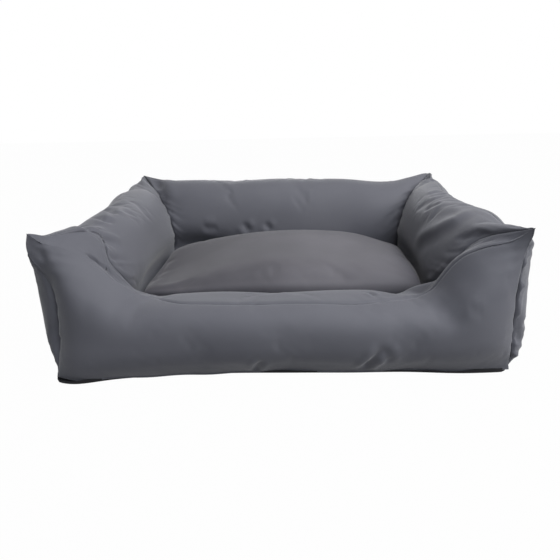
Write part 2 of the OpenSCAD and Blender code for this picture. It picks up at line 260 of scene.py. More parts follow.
# Feet, and the strip that the zip at the foot of the back wall is sewn into
FOOT_IN = 0.006
FOOT_Z = 0.0073
FLOOR_Z = 0.0031
STRIP_H = 0.026
PLAIN_STRIP_H = 0.006
FRONT_STRIP_H = 0.002
STRIP_FADE = 0.12
SEAM_X = cad_high.x - SIDE_BULGE
SEAM_Y = cad_high.y - END_BULGE
CLOTH_T = 0.0012
# Where the top seam lies between swell and ridge, in the middle of a wall and at its
# peaks. The front wall's runs up onto the ridge before it climbs the left arm, and
# further up on the right one
SEAM_Q = 2.8
PEAK_SEAM_Q = 2.95
RIDGE_SEAM_Q = 2.985
SEAM_AHEAD = ((-0.76, -0.64, -0.35, 0.44, 0.62), (1, 0.7, 0, 0, 1))
# How far the low front has risen to its peaks, along its right (-) and its left arm
FRONT_RISE = ((-1, -0.965, -0.92, -0.852, -0.815, -0.775, -0.74, -0.70, -0.65, -0.60,
               0.55, 0.62, 0.697, 0.807, 0.893, 1),
              (1, 0.81, 0.73, 0.59, 0.48, 0.33, 0.18, 0.09, 0.02, 0,
               0, 0.007, 0.08, 0.30, 0.584, 1))
# Where the front's arms are narrow on top
ARMS = ((-0.98, -0.9, -0.66, -0.5, 0.6, 0.7, 0.9, 0.965), (0, 1, 1, 0, 0, 1, 1, 0))
# How the outside first leans out and up from its foot, as shares of the way to its
# fullest place: on the front wall, and on the others
FRONT_LEAN, LEAN = (0.3, 0.2), (0.6, 0.1)
# How it goes on from there to the ridge, as shares of the way in, and of the way up
# below the ridge and at it: at a wall's ends, and where the wall is full
TOP_IN, TOP_UP, TOP_LEVEL = (0.5, 0.25), (0.46, 0.78), (0.84, 1)
# Where the front left corner's round ridge ends, and the length over which it fades
ROUND_END, ROUND_FADE = 0.98, 0.1
# How the ridge rolls inwards, as shares of its way in and its drop: at a wall's end,
# where the wall is full, and on the front's left and right arm
ROLL_IN = (0.31, 0.6, 0.16, 0.24)
ROLL_DOWN = (0.155, 0, 0.12, 0.07)
# How sharply the side and back walls rise to their peaks, and how close to its ends a
# wall is full, bulges outwards and has its ridge in line: long walls first, then short
RISE_POWER = 1.3
FULL_POWER = 6
SWELL_POWER = 9
RIDGE_POWERS = (8, 3)
# How far in from its seam a plain corner bulges, and the front right one, which is
# stuffed out to it; how full the front left one is
CORNER_IN, TIGHT_CORNER_IN = 0.1, 0.04
LEFT_CORNER_FULL = 0.8
# How deep and how wide the cloth is drawn in by a seam, and how much deeper by the rear
# corners' and the front's top seam
SEAM_DEPTH = 0.0026
SEAM_WIDTH = 0.0075
REAR_SEAM = 1.7
FRONT_SEAM = 1.4
# Lengths over which that fades at a seam's end and above the feet, and how far below
# the peaks' tops, this close to the corner seams, it ends
SEAM_FADE, FOOT_FADE = 0.03, 0.01
PEAK_FREE, PEAK_SIDE = 0.012, 0.02
# The front's left arm hides its top seam from here on
SEAM_HIDDEN = ((0.55, 0.62), (0, 1))
# The front left corner is too full for a seam to draw it in above this
LEFT_CORNER_Z = 0.16
# How far the lower hem hangs over the base sheet's edge, and how much that varies
HEM_HANG = (0.0046, 0.0018)


def blend(a, b, f):
    """Value at share f of the way from a to b."""
    return a + (b - a) * f


def bezier(p0, p1, p2, p3, s):
    """Value at s of the curve with four control values."""
    return ((1 - s) ** 3 * p0 + 3 * s * (1 - s) ** 2 * p1
            + 3 * s * s * (1 - s) * p2 + s ** 3 * p3)


def eased(t, steps, values, width=0.03):
    """Values at steps, joined by lines whose corners are rounded over about width."""
    offsets = np.linspace(-1, 1, 13) * width
    weights = np.cos(offsets / width * math.pi / 2) ** 2
    kept = np.minimum(1, (1 - np.abs(t)) / width)
    near = [np.interp(t + offset * kept, steps, values) for offset in offsets]
    return sum(w * v for w, v in zip(weights, near)) / weights.sum()


def stepped(*stretches):
    """Steps through neighbouring stretches, each given by its ends and its count."""
    parts = [np.linspace(*stretch) for stretch in stretches]
    return np.concatenate([part[:-1] for part in parts[:-1]] + parts[-1:])


def drawn_in(distance, width=SEAM_WIDTH):
    """1 on a seam, falling to 0 at width from it."""
    return np.maximum(0, 1 - distance / width) ** 2


def lumps(points, wave, seed):
    """Smooth random field of about unit size, with its lumps about wave apart."""
    random = np.random.default_rng(seed)
    total = np.zeros(points.shape[:-1])
    for _ in range(10):
        way = random.normal(size=3)
        way *= 2 * math.pi / wave / np.linalg.norm(way)
        total += np.sin(points @ way + random.uniform(0, 2 * math.pi))
    return total / math.sqrt(5)


# Where the filling has settled: place, reach in x, y and z, and shift, all in mm
SETTLED = [
    # Feet of the front corners
    ((-372, -330, 0), (72, 90, 60), (0, -27, 0)),
    ((-255, -330, 0), (110, 90, 60), (0, -19, 0)),
    ((450, -300, 0), (45, 60, 48), (17, -14, -2)),
    ((416, -320, 6), (24, 24, 24), (-1, 4, 3)),
    # Front left corner: its peak, and the cloth below and behind it
    ((-413, -322, 232), (45, 45, 34), (-14, -4, 0)),
    ((-413, -322, 275), (30, 30, 16), (4, 0, 0)),
    ((-385, -300, 268), (24, 24, 24), (0, 0, -7)),
    ((-385, -276, 266), (30, 30, 24), (0, 0, -5)),
    ((-430, -303, 125), (40, 45, 60), (5, 0, 0)),
    ((-352, -222, 245), (40, 38, 42), (8, 24, 4)),
    ((-402, -326, 190), (20, 40, 60), (0, 9, 0)),
    ((-418, -318, 208), (22, 30, 26), (-4, 0, 0)),
    # Front right corner: its peak, and the cloth below and behind it
    ((430, -284, 226), (45, 28, 38), (3, 0, 0)),
    ((430, -303, 150), (40, 42, 62), (-5, 0, 0)),
    ((425, -292, 238), (40, 24, 26), (8, 0, 0)),
    ((413, -325, 236), (30, 18, 26), (-4, 0, 0)),
    ((413, -325, 258), (46, 30, 34), (7, 7, -2)),
    ((413, -322, 226), (40, 22, 34), (0, 4, 0)),
    ((413, -322, 275), (30, 30, 16), (-3, 0, 0)),
    # The low front's ridge has sagged behind its seam
    ((-130, -248, 134), (95, 40, 32), (0, 0, -8)),
    ((40, -250, 134), (120, 40, 32), (0, 0, -4)),
    # The low front's arms fall off steeply to the cushion
    ((-318, -185, 190), (75, 48, 80), (0, -42, -12)),
    ((-300, -225, 185), (60, 32, 60), (0, -12, -22)),
    ((318, -185, 190), (75, 48, 80), (0, -42, -12)),
    ((285, -235, 160), (48, 34, 50), (0, -6, -26)),
    # The cover turns in under the walls where the cushion presses against them
    ((-292, 0, 92), (40, 150, 34), (-30, 0, 0)),
    ((-245, 170, 92), (105, 40, 42), (0, 32, 0)),
    ((290, 20, 112), (40, 150, 26), (10, 0, 0)),
    # Tops of the side walls and of the back wall
    ((-425, 262, 262), (45, 55, 50), (-14, 0, 12)),
    ((-425, 215, 262), (45, 40, 50), (-7, 0, 4)),
    ((-418, 100, 262), (60, 75, 60), (-9, 0, 12)),
    ((-413, -210, 255), (60, 55, 60), (4, 0, -4)),
    ((425, 255, 262), (45, 60, 50), (10, 0, 6)),
    ((425, 160, 262), (45, 55, 50), (8, 0, 6)),
    ((411, 320, 275), (16, 16, 12), (-3, -3, -3)),
    ((413, 70, 258), (50, 50, 50), (2, 0, 4)),
    ((413, -165, 258), (50, 60, 50), (6, 0, 12)),
    ((260, 290, 262), (95, 90, 60), (0, 0, -11)),
]
# Size of the lumps in the whole cover, how far apart they are, and their seed
LUMPS = (0.0011, 0.19, 31)
# Middle and reach of the stretch that stays plain, so that the zip lies flat, and the
# share of its reach from which on that fades, and over which it does
ZIP_PLAIN = ((0, SEAM_Y, 0.020), (0.50, 0.05, 0.05))
PLAIN_SHARE, PLAIN_FADE = 0.7, 0.3


def pushed(points, pushes):
    """How far points move under pushes, each with its place, reach and shift in mm."""
    moves = [np.exp(-(((points * 1000 - place) / reach) ** 2).sum(-1))[..., None]
             * np.array(shift) / 1000 for place, reach, shift in pushes]
    return sum(moves)


def settle(points):
    """Points of the bed moved as the whole bed has settled on the floor."""
    size, wave, seed = LUMPS
    moved = points + pushed(points, SETTLED)
    for axis in range(3):
        moved[..., axis] += size * lumps(points, wave, seed + axis)
    middle, reach = ZIP_PLAIN
    away = np.linalg.norm((points - middle) / reach, axis=-1)
    plain = np.exp(-np.maximum(0, away - PLAIN_SHARE) / PLAIN_FADE)
    return blend(points, moved, 1 - plain[..., None])


def outward(points):
    """Unit normals of a grid of points, away from the filling."""
    normals = np.cross(np.gradient(points, axis=1), np.gradient(points, axis=0))
    return normals / np.maximum(np.linalg.norm(normals, axis=-1, keepdims=True), 1e-9)


class Wall:
    """One wall with its outside facing +Y before it is turned to its side of the bed.
    t runs from -1 to 1 along it, and q from 0 at the outer foot over the swell (2) and
    the ridge (3) to the inner face (4) and the inner foot (5)."""

    def __init__(self, name, turns, half, seam, thick, other, face, swell, height, out_z,
                 in_z, strip, level=None):
        self.name = name
        self.turns = turns  # Quarter turns from the back wall
        self.half = half  # Half its length between the corner seams
        self.seam = seam  # From the bed's middle to the corner seams
        self.thick = thick  # From the corner seams to the inner face, at its ends
        self.other = other  # The same of the walls beside it
        self.face = face  # From the corner seams to the inner face, in its middle
        self.swell = swell  # How far its outside bulges past the corner seams
        self.height = height  # Height of its ridge in the middle
        self.out_z = out_z  # Height at which its outside is fullest
        self.in_z = in_z  # Height at which its inside is fullest
        self.strip = strip  # Height of the strip along its outer foot
        self.level = level  # Half the length of its ridge that is level, but for the front
        self.cos, self.sin = ((1, 0), (0, 1), (-1, 0), (0, -1))[turns]
        # Sign of the end that is at the front left corner, and at the front right one
        self.left_end = {"front": 1, "left": -1}.get(name, 0)
        self.right_end = {"front": -1, "right": 1}.get(name, 0)

    def section(self, t, q):
        """Distance inwards from the corner seams, and height, along t at one q."""
        front = self.name == "front"
        if front:
            rise = eased(t, *FRONT_RISE)
        else:
            over = (np.abs(t) * self.half - self.level) / (self.half - self.level)
            rise = np.maximum(0, over) ** RISE_POWER
        full = np.sqrt(np.maximum(0, 1 - np.abs(t) ** FULL_POWER))
        strip = np.minimum(1, (1 - np.abs(t)) / STRIP_FADE)
        n_foot = FOOT_IN * blend(self.thick / SIDE_T, 1, strip)
        z_strip = FOOT_Z + blend(min(self.strip, PLAIN_STRIP_H), self.strip, strip)
        if q <= 1:
            return n_foot, blend(FOOT_Z, z_strip, q)

        corner_in = np.where(self.right_end * t > 0, TIGHT_CORNER_IN, CORNER_IN)
        n_out = blend(corner_in * self.thick, -self.swell, 1 - np.abs(t) ** SWELL_POWER)
        z_out = blend(self.out_z, OUT_SHARE * PEAK_Z, rise)
        if q <= 2:
            lean_n, lean_z = FRONT_LEAN if front else LEAN
            return (bezier(n_foot, blend(n_foot, n_out, lean_n), n_out, n_out, q - 1),
                    bezier(z_strip, blend(z_strip, z_out, lean_z), blend(z_strip, z_out, 0.5),
                           z_out, q - 1))

        n_ridge = RIDGE_IN * (1 - np.abs(t) ** RIDGE_POWERS[self.turns % 2])
        z_ridge = blend(self.height, PEAK_Z, rise)
        if q <= 3:
            seam = blend(SEAM_Q, PEAK_SEAM_Q, np.minimum(1, 3 * rise)) - 2
            if front:
                seam = blend(seam, RIDGE_SEAM_Q - 2, eased(t, *SEAM_AHEAD, width=0.08))
            if q <= SEAM_Q:
                s = (q - 2) * seam / (SEAM_Q - 2)
            else:
                s = blend(seam, 1, (q - SEAM_Q) / (3 - SEAM_Q))
            # The front left corner's ridge is round almost up to its peak
            round_ridge = np.clip((ROUND_END - np.abs(t)) / ROUND_FADE, 0, 1)
            level = np.maximum(full, round_ridge * (self.left_end * t > 0))
            n_top = blend(n_out, n_ridge, blend(*TOP_IN, full))
            z_up = blend(z_out, z_ridge, blend(*TOP_UP, full))
            z_top = blend(z_out, z_ridge, blend(*TOP_LEVEL, level))
            return bezier(n_out, n_out, n_top, n_ridge, s), bezier(z_out, z_up, z_top, z_ridge, s)

        n_in = blend(self.thick, self.face, full)
        z_in = blend(self.in_z, IN_SHARE * PEAK_Z, rise)
        if q <= 4:
            stuffed = np.where(self.left_end * t > 0, LEFT_CORNER_FULL, 0)
            rolls = []
            for end, whole, left_arm, right_arm in (ROLL_IN, ROLL_DOWN):
                roll = blend(blend(end, whole, stuffed), whole, full)
                if front:
                    roll = blend(roll, np.where(t > 0, left_arm, right_arm), eased(t, *ARMS))
                rolls.append(roll)
            drop = z_ridge - z_in
            return (bezier(n_ridge, n_ridge + rolls[0] * (n_in - n_ridge), n_in, n_in, q - 3),
                    bezier(z_ridge, z_ridge - rolls[1] * drop, z_in + 0.6 * drop, z_in, q - 3))
        return n_in, blend(z_in, FLOOR_Z, q - 4)

    def drawn_at_seams(self, t, qs, n, z):
        """Section along t and qs with its cloth drawn in at the top and corner seams."""
        along_n, along_z = np.gradient(n, axis=1), np.gradient(z, axis=1)
        steps = np.hypot(np.diff(n, axis=1), np.diff(z, axis=1))
        run = np.concatenate([np.zeros_like(t), steps.cumsum(1)], 1)
        seam = np.abs(np.asarray(qs) - SEAM_Q).argmin()
        corner = (1 - np.abs(t)) * self.half
        top = (SEAM_DEPTH * drawn_in(np.abs(run - run[:, seam:seam + 1]))
               * np.minimum(1, corner / SEAM_FADE))
        if self.name == "front":
            top = top * FRONT_SEAM * (1 - eased(t, *SEAM_HIDDEN))
        # The corner seams are drawn in along the plane in which two walls meet
        skew = math.hypot(self.thick, self.other) / self.thick
        end = SEAM_DEPTH * drawn_in((1 - np.abs(t)) * (self.half - n * self.other / self.thick))
        end = end * np.where(self.sin * t + self.cos > 0, REAR_SEAM, 1)
        size = np.maximum(np.hypot(along_n, along_z), 1e-9)
        end_size = np.maximum(np.hypot(along_n * skew, along_z), 1e-9)
        dn = top * along_z / size + end * along_z / end_size / skew
        dz = -top * along_n / size - end * along_n * skew / end_size
        # The feet and the peaks stay where they are
        peak = (np.clip((PEAK_Z - PEAK_FREE - z) / SEAM_FADE, 0, 1)
                + np.clip(corner / PEAK_SIDE - 1, 0, 1))
        free = np.clip((z - FOOT_Z) / FOOT_FADE, 0, 1) * np.minimum(1, peak)
        too_full = (self.left_end * t > 0) * np.clip((z - LEFT_CORNER_Z) / SEAM_FADE, 0, 1)
        free = free * (1 - too_full)
        return n + free * dn, z + free * dz

    def surface(self, t, qs, sewn=True):
        """Grid of points of the wall's cover, with rows along t and columns along qs."""
        t = np.asarray(t)
        pairs = [self.section(t, q) for q in qs]
        n, z = (np.stack([pair[k] + 0 * t for pair in pairs], 1) for k in (0, 1))
        t = t[:, None]
        if sewn:
            n, z = self.drawn_at_seams(t, qs, n, z)
        # The lower hem hangs down over the base sheet's edge, more in some places, but
        # not under the zip at the back
        wave = np.sin(7 * t + 3 * self.turns) * np.sin(17 * t + self.turns)
        low = np.clip(1 - (z - FOOT_Z) / 0.02, 0, 1) * (np.asarray(qs) < SEAM_Q)
        z = z - low * (HEM_HANG[0] + HEM_HANG[1] * wave) * (self.turns > 0)
        reach = np.where(n > 0, n, 0.35 * n) * self.other / self.thick
        x, y = t * (self.half - reach), self.seam - n
        return settle(np.stack([self.cos * x - self.sin * y, self.sin * x + self.cos * y, z], -1))


SIDE = dict(half=SEAM_Y, seam=SEAM_X, thick=SIDE_T, other=END_T, face=SIDE_T + SIDE_SWELL,
            swell=SIDE_BULGE, height=SIDE_H, level=LEVEL_SHARE * SEAM_Y,
            out_z=OUT_SHARE * SIDE_H, in_z=IN_SHARE * SIDE_H, strip=PLAIN_STRIP_H)
END = dict(half=SEAM_X, seam=SEAM_Y, thick=END_T, other=SIDE_T, swell=END_BULGE)
walls = [
    Wall("back", 0, face=END_T, height=BACK_H, level=LEVEL_SHARE * SEAM_X,
         out_z=OUT_SHARE * BACK_H, in_z=IN_SHARE * BACK_H, strip=STRIP_H, **END),
    Wall("left", 1, **SIDE),
    Wall("front", 2, face=END_T - FRONT_SLIM, height=ENTRY_H, out_z=ENTRY_OUT_SHARE * ENTRY_H,
         in_z=ENTRY_IN_SHARE * ENTRY_H, strip=FRONT_STRIP_H, **END),
    Wall("right", 3, **SIDE),
]

# The cover is blown up by its filling before the seams' small folds are laid in. Only
# the wrinkles of that are kept, and more of them in some walls
FRAMES = 20
WRINKLE_GAIN = {"front": 0.25, "left": 0.9, "right": 0.9, "back": 0.7}
# Pressure of the filling, how much larger the cloth is than its seams allow, and how far
# it moves at most
WALL_PRESSURE = 3.0
WALL_GROWTH = 0.016
WALL_MOVE_MOST = 0.008
# How firmly the top seam holds the cloth, from 0 to 1
TOP_SEAM_HOLD = 0.35
even = np.linspace(-1, 1, 93)
SIM_T = 0.6 * even + 0.4 * np.sin(even * math.pi / 2)
SIM_Q = stepped((0, 1, 3), (1, 2, 9), (2, SEAM_Q, 12), (SEAM_Q, 3, 4), (3, 4, 16), (4, 5, 6))


def pillow(name, points, faces, held, pressure, growth):
    """Cloth object for a closed cover that is a little larger than its seams allow."""
    mesh = bpy.data.meshes.new(name)
    mesh.from_pydata(points.reshape(-1, 3).tolist(), [], faces)
    piece = bpy.data.objects.new(name, mesh)
    scene.collection.objects.link(piece)
    group = piece.vertex_groups.new(name="held")
    for weight in np.unique(held):
        if weight > 0:
            group.add(np.flatnonzero(held == weight).tolist(), float(weight), "REPLACE")
    cloth = piece.modifiers.new("cloth", "CLOTH")
    cloth.settings.quality = 5
    cloth.settings.vertex_group_mass = "held"
    cloth.settings.use_pressure = True
    cloth.settings.uniform_pressure_force = pressure
    cloth.settings.shrink_min = -growth
    cloth.settings.effector_weights.gravity = 0
    cloth.settings.bending_stiffness = 0.6
    cloth.collision_settings.use_collision = False
    cloth.point_cache.frame_end = FRAMES
    return piece


def blown_up(pieces, caps):
    """How far the cloth of each piece moves, at most its cap; the pieces are removed."""
    for step in range(1, FRAMES + 1):
        scene.frame_set(step)
    moves = []
    for piece, cap in zip(pieces, caps):
        count = len(piece.data.vertices)
        rest, now = np.empty(3 * count, np.float32), np.empty(3 * count, np.float32)
        piece.data.vertices.foreach_get("co", rest)
        mesh = piece.evaluated_get(bpy.context.evaluated_depsgraph_get()).data
        mesh.vertices.foreach_get("co", now)
        move = (now - rest).reshape(-1, 3).astype(float)
        size = np.maximum(np.linalg.norm(move, axis=1, keepdims=True), 1e-9)
        moves.append(move * cap * np.tanh(size / cap) / size)
    scene.frame_set(1)
    for piece in pieces:
        bpy.data.meshes.remove(piece.data)
    return moves


def cubic_weights(fine, coarse):
    """Matrix that carries values on the coarse steps smoothly to the fine ones."""
    place = np.interp(fine, coarse, np.arange(len(coarse)))
    weights = np.zeros((len(fine), len(coarse)))
    for row, x in enumerate(place):
        first = min(int(x), len(coarse) - 2)
        f = x - first
        shares = (-0.5 * f + f * f - 0.5 * f ** 3, 1 - 2.5 * f * f + 1.5 * f ** 3,
                  0.5 * f + 2 * f * f - 1.5 * f ** 3, -0.5 * f * f + 0.5 * f ** 3)
        for k, share in enumerate(shares):
            weights[row, np.clip(first - 1 + k, 0, len(coarse) - 1)] += share
    return weights


def carried(move, coarse, fine):
    """Movement of a coarse grid carried to a finer one, each given as rows and columns."""
    return np.einsum("ab,bcd,ec->aed", cubic_weights(fine[0], coarse[0]), move,
                     cubic_weights(fine[1], coarse[1]))


def tube_faces(rows, columns):
    """Faces of a closed tube of rows rings, with a cap at each end."""
    at = np.arange(rows * columns).reshape(rows, columns)
    turn = np.roll(at, -1, 1)
    sides = np.stack([at[:-1], turn[:-1], turn[1:], at[1:]], -1).reshape(-1, 4).tolist()
    return sides + [at[0, ::-1].tolist(), at[-1].tolist()]


def wrinkles(move, reach=(8, 4)):
    """Part of the movement of a grid that is finer than reach, in cells. What is left
    out is the swell that the plain shape already has."""
    smooth, free = move, 1.0
    for axis, (count, sigma) in enumerate(zip(move.shape, reach)):
        i = np.arange(count)
        kernel = np.exp(-((i[:, None] - i) / sigma) ** 2 / 2)
        kernel /= kernel.sum(1, keepdims=True)
        smooth = np.moveaxis(np.tensordot(kernel, smooth, (1, axis)), 0, axis)
        edge = np.clip(np.minimum(i, count - 1 - i) / (0.8 * sigma), 0, 1)
        shape = (-1, 1, 1) if axis == 0 else (1, -1, 1)
        free = free * (edge * edge * (3 - 2 * edge)).reshape(shape)
    return move - free * smooth


pillows = []
for wall in walls:
    cover = wall.surface(SIM_T, SIM_Q, sewn=False)
    bottom = [blend(cover[:, -1], cover[:, 0], f) for f in np.linspace(0, 1, 14)[1:-1]]
    ring = np.concatenate([cover, np.stack(bottom, 1)], 1)
    held = np.zeros(ring.shape[:2])
    held[:, (SIM_Q <= 1).nonzero()[0]] = 1
    held[:, len(SIM_Q) - 1:] = 1
    held[:, np.abs(SIM_Q - SEAM_Q).argmin()] = TOP_SEAM_HOLD
    held[[0, -1]] = 1
    pillows.append(pillow(f"{wall.name}_pillow", ring, tube_faces(*ring.shape[:2]), held.ravel(),
                          WALL_PRESSURE, WALL_GROWTH))
moves = blown_up(pillows, [WALL_MOVE_MOST] * len(walls))
for wall, move in zip(walls, moves):
    move = move.reshape(len(SIM_T), -1, 3)[:, :len(SIM_Q)]
    wall.puff = WRINKLE_GAIN[wall.name] * wrinkles(move)
    # The hems stay still, and little swells against the cushion
    wall.puff *= np.interp(SIM_Q, (1, 1.6, 3.3, 4.0), (0, 1, 1, 0.35))[:, None]


# Folds that the photograph shows in the cover: name of the panel, depth and width in mm,
# and points along the fold in mm
FOLDS = [
    # Left wall, where it meets the top of the front's left arm, and along its top
    ("left_inner", 7, 9, [(-384, -205, 256), (-370, -215, 256), (-355, -222, 250),
                          (-345, -215, 239), (-336, -207, 226), (-329, -197, 216),
                          (-319, -189, 199)]),
    ("left_inner", 5, 8, [(-388, -75, 256), (-377, -72, 256), (-345, -105, 252)]),
    ("left_inner", 5, 8, [(-382, -130, 255), (-353, -147, 253), (-335, -140, 244)]),
    # Back wall, at its left end and where the cushion presses against its foot
    ("back_inner", 7, 14, [(-371, 284, 267), (-350, 230, 256), (-326, 181, 218)]),
    ("back_inner", 3, 9, [(-225, 171, 156), (-202, 171, 150), (-180, 169, 154)]),
    ("back_inner", 3.5, 8, [(-112, 171, 167), (-104, 171, 154), (-92, 168, 140)]),
    ("back_inner", 3, 7, [(-53, 169, 166), (-44, 168, 154), (-36, 168, 144)]),
    # Right wall, round its rear peak and down from the bump in its top
    ("right_inner", 4, 8, [(402, 290, 267), (392, 252, 260), (412, 232, 262)]),
    ("right_inner", 2.5, 6, [(336, 55, 253), (352, 60, 256), (385, 75, 257)]),
    ("right_inner", 2.5, 6, [(326, 6, 246), (350, 5, 255), (380, 12, 257)]),
    ("right_inner", 2.5, 6, [(317, -14, 231), (331, -35, 248), (350, -48, 257)]),
    ("right_inner", -4, 13, [(383, -147, 261), (342, -155, 246), (318, -124, 220),
                             (298, -35, 168)]),
    ("right_inner", 1.5, 3, [(388, -140, 262), (398, -190, 257), (402, -250, 260),
                             (405, -295, 265)]),
    ("front_inner", 2, 6, [(403, -311, 262), (391, -304, 248), (378, -294, 241)]),
    # Front wall, at its two corners, along its foot and on the band above its seam
    ("front_outer", 3, 7, [(-402, -314, 242), (-404, -316, 229), (-404, -317, 215)]),
    ("front_outer", 1.2, 6, [(319, -334, 136), (331, -339, 133), (344, -340, 129)]),
    ("front_outer", 3, 18, [(267, -300, 135), (283, -327, 126), (298, -341, 112),
                            (310, -346, 99)]),
    ("front_outer", 6, 7, [(181, -350, 72), (170, -349, 52), (157, -339, 28),
                           (150, -325, 8)]),
    ("front_outer", 3, 7, [(181, -350, 72), (187, -348, 53), (194, -340, 33)]),
    ("front_outer", 4, 6, [(-27, -345, 44), (-38, -337, 25), (-45, -318, 5)]),
    ("front_inner", 2.5, 4, [(165, -248, 133), (175, -270, 132)]),
]
# Slit that the cloth makes where the front's left arm is pinched
SLITS = [
    ("front_inner", 7, 2.8, [(-346, -269, 219), (-339, -266, 211), (-333, -262, 203),
                             (-326, -257, 193), (-320, -250, 181), (-312, -247, 169),
                             (-305, -241, 157), (-300, -237, 147)]),
]
# How quickly each deepens from its first point and fades to its last, and how high its
# lips stand
FOLD_ENDS, FOLD_LIPS = (4, 4), 0.45
SLIT_ENDS, SLIT_LIPS = (10, 1.1), 0
# Where the lips stand and how wide they are, in widths of the fold
LIPS_AT, LIPS_WIDE = 2.2, 1.1
# Height over the cloth at which a point of a fold may lie and still mark it
FOLD_MISS = 0.008
# Folds and slits stop this far from the seams, where the next panel is sewn on
FOLD_STOP = 0.005
# Small folds across the corner seams: their lengths, how far in they are highest, and
# their heights, which are more on the strip beside the front right corner
PUCKER_WAVES = (0.019, 0.027, 0.041)
PUCKER_IN = 0.011
PUCKER, STRIP_PUCKER = 0.0009, 0.0034
# Heights above and below which they fade, over what height, and the share that is left
# at the peaks
PUCKER_TOP, PUCKER_FOOT, PUCKER_FADE, PUCKER_LEFT = 0.25, 0.02, 0.03, 0.2


def pressed_in(points, normals, fold, ends, lips):
    """Grid of points with a fold pressed in: a valley, with a lip on each side."""
    depth, width, line = fold
    line = np.array(line) / 1000
    starts, spans = line[:-1], np.diff(line, axis=0)
    lengths = np.linalg.norm(spans, axis=1)
    begins = np.concatenate([[0], lengths.cumsum()])
    nearest = np.full(points.shape[:-1], np.inf)
    share = np.zeros(points.shape[:-1])
    for start, span, length, begin in zip(starts, spans, lengths, begins):
        f = np.clip(((points - start) @ span) / length ** 2, 0, 1)
        apart = points - start - f[..., None] * span
        miss = np.minimum((apart * normals).sum(-1) ** 2, FOLD_MISS ** 2)
        away = np.sqrt(np.maximum(0, (apart ** 2).sum(-1) - miss))
        closer = away < nearest
        nearest = np.where(closer, away, nearest)
        share = np.where(closer, (begin + f * length) / begins[-1], share)
    x = nearest / (width / 1000)
    taper = np.clip(np.minimum(ends[0] * share, ends[1] * (1 - share)), 0, 1)
    profile = -np.exp(-x * x) + lips * np.exp(-((x - LIPS_AT) / LIPS_WIDE) ** 2)
    return points + normals * (depth / 1000 * taper * profile)[..., None]


def folded(points, name):
    """Grid of points of one panel with its folds and slits pressed in."""
    normals = outward(points)
    for folds, ends, lips in ((FOLDS, FOLD_ENDS, FOLD_LIPS), (SLITS, SLIT_ENDS, SLIT_LIPS)):
        for panel_name, *fold in folds:
            if panel_name == name:
                points = pressed_in(points, normals, fold, ends, lips)
    return points


def puckered(points, end, run, size, seed):
    """Grid of points with small folds across the corner seams, which die out inwards and
    towards the feet and the peaks."""
    random = np.random.default_rng(seed)
    wave = sum(np.sin(2 * math.pi * run / length + random.uniform(0, 6.3))
               for length in PUCKER_WAVES) / 1.5
    z = points[..., 2]
    profile = end / PUCKER_IN * np.exp(1 - end / PUCKER_IN)
    profile = profile * np.clip((PUCKER_TOP - z) / PUCKER_FADE, PUCKER_LEFT, 1)
    profile = profile * np.clip((z - PUCKER_FOOT) / PUCKER_FADE, 0, 1)
    return points + outward(points) * (size * wave * profile)[..., None]


def close_to(middle, far, first, growth, widest):
    """Steps from middle over the length far: the first is first, and each later one is
    growth times as long, up to widest."""
    steps, step = [0.0], first
    while steps[-1] + step < far:
        steps.append(steps[-1] + step)
        step = min(step * growth, widest)
    return middle + np.array(steps + [far])


def edge_steps(half, first=0.0012, widest=0.0055):
    """Steps from -1 to 1 over a length of twice half, close together at both ends."""
    ends = close_to(0, half, first, 1.25, widest) / half
    return np.concatenate([ends - 1, 1 - ends[-2::-1]])


def lengths_across(points):
    """Length of each row of a grid up to each of its points."""
    steps = np.linalg.norm(np.diff(points, axis=1), axis=2)
    return np.concatenate([np.zeros((len(points), 1)), steps.cumsum(1)], 1)


def cut_map(points):
    """Lengths along and across a grid of points, in metres, as the cloth was cut."""
    across = lengths_across(points)
    middle = points[:, points.shape[1] // 2]
    along = lengths_across(middle[None])[0]
    return np.stack([np.broadcast_to(along[:, None], across.shape), across], -1)


def grid_quads(at):
    """Faces between the neighbours in a grid of point numbers."""
    return np.stack([at[:-1, :-1], at[1:, :-1], at[1:, 1:], at[:-1, 1:]], -1).reshape(-1, 4)


def shell_faces(rows, columns):
    """Faces of two grids of points, one over the other, joined into a closed shell."""
    count = rows * columns
    at = np.arange(count).reshape(rows, columns)
    quads = grid_quads(at)
    edge = np.concatenate([at[0, :-1], at[:-1, -1], at[-1, :0:-1], at[:0:-1, 0]])
    after = np.roll(edge, -1)
    rim = np.stack([edge, after, after + count, edge + count], -1)
    return np.concatenate([quads, quads[:, ::-1] + count, rim])


def solid_mesh(name, vertices, faces):
    """Smooth mesh of vertices and faces."""
    mesh = bpy.data.meshes.new(name)
    mesh.from_pydata(np.asarray(vertices).reshape(-1, 3).tolist(), [], faces)
    mesh.polygons.foreach_set("use_smooth", [True] * len(mesh.polygons))
    return mesh


def cloth_shell(name, points):
    """Closed thin mesh of a grid of points, with the map of the cut cloth."""
    under = points - outward(points) * CLOTH_T
    faces = shell_faces(*points.shape[:2])[:, [0, 3, 2, 1]]
    mesh = solid_mesh(name, np.stack([points, under]), faces.tolist())
    layer = mesh.uv_layers.new(name="cut")
    corners = np.empty(len(mesh.loops), np.int32)
    mesh.loops.foreach_get("vertex_index", corners)
    flat = np.tile(cut_map(points).reshape(-1, 2), (2, 1))
    layer.uv.foreach_set("vector", flat[corners].astype(np.float32).ravel())
    return mesh


def new_piece(name, mesh, material, body, nodes):
    """Object that rides on a body, stands for CAD nodes and takes a slot's finish."""
    piece = bpy.data.objects.new(name, mesh)
    scene.collection.objects.link(piece)
    mesh.materials.append(material)
    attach(piece, body)
    if nodes:
        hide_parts(*nodes)
    return piece


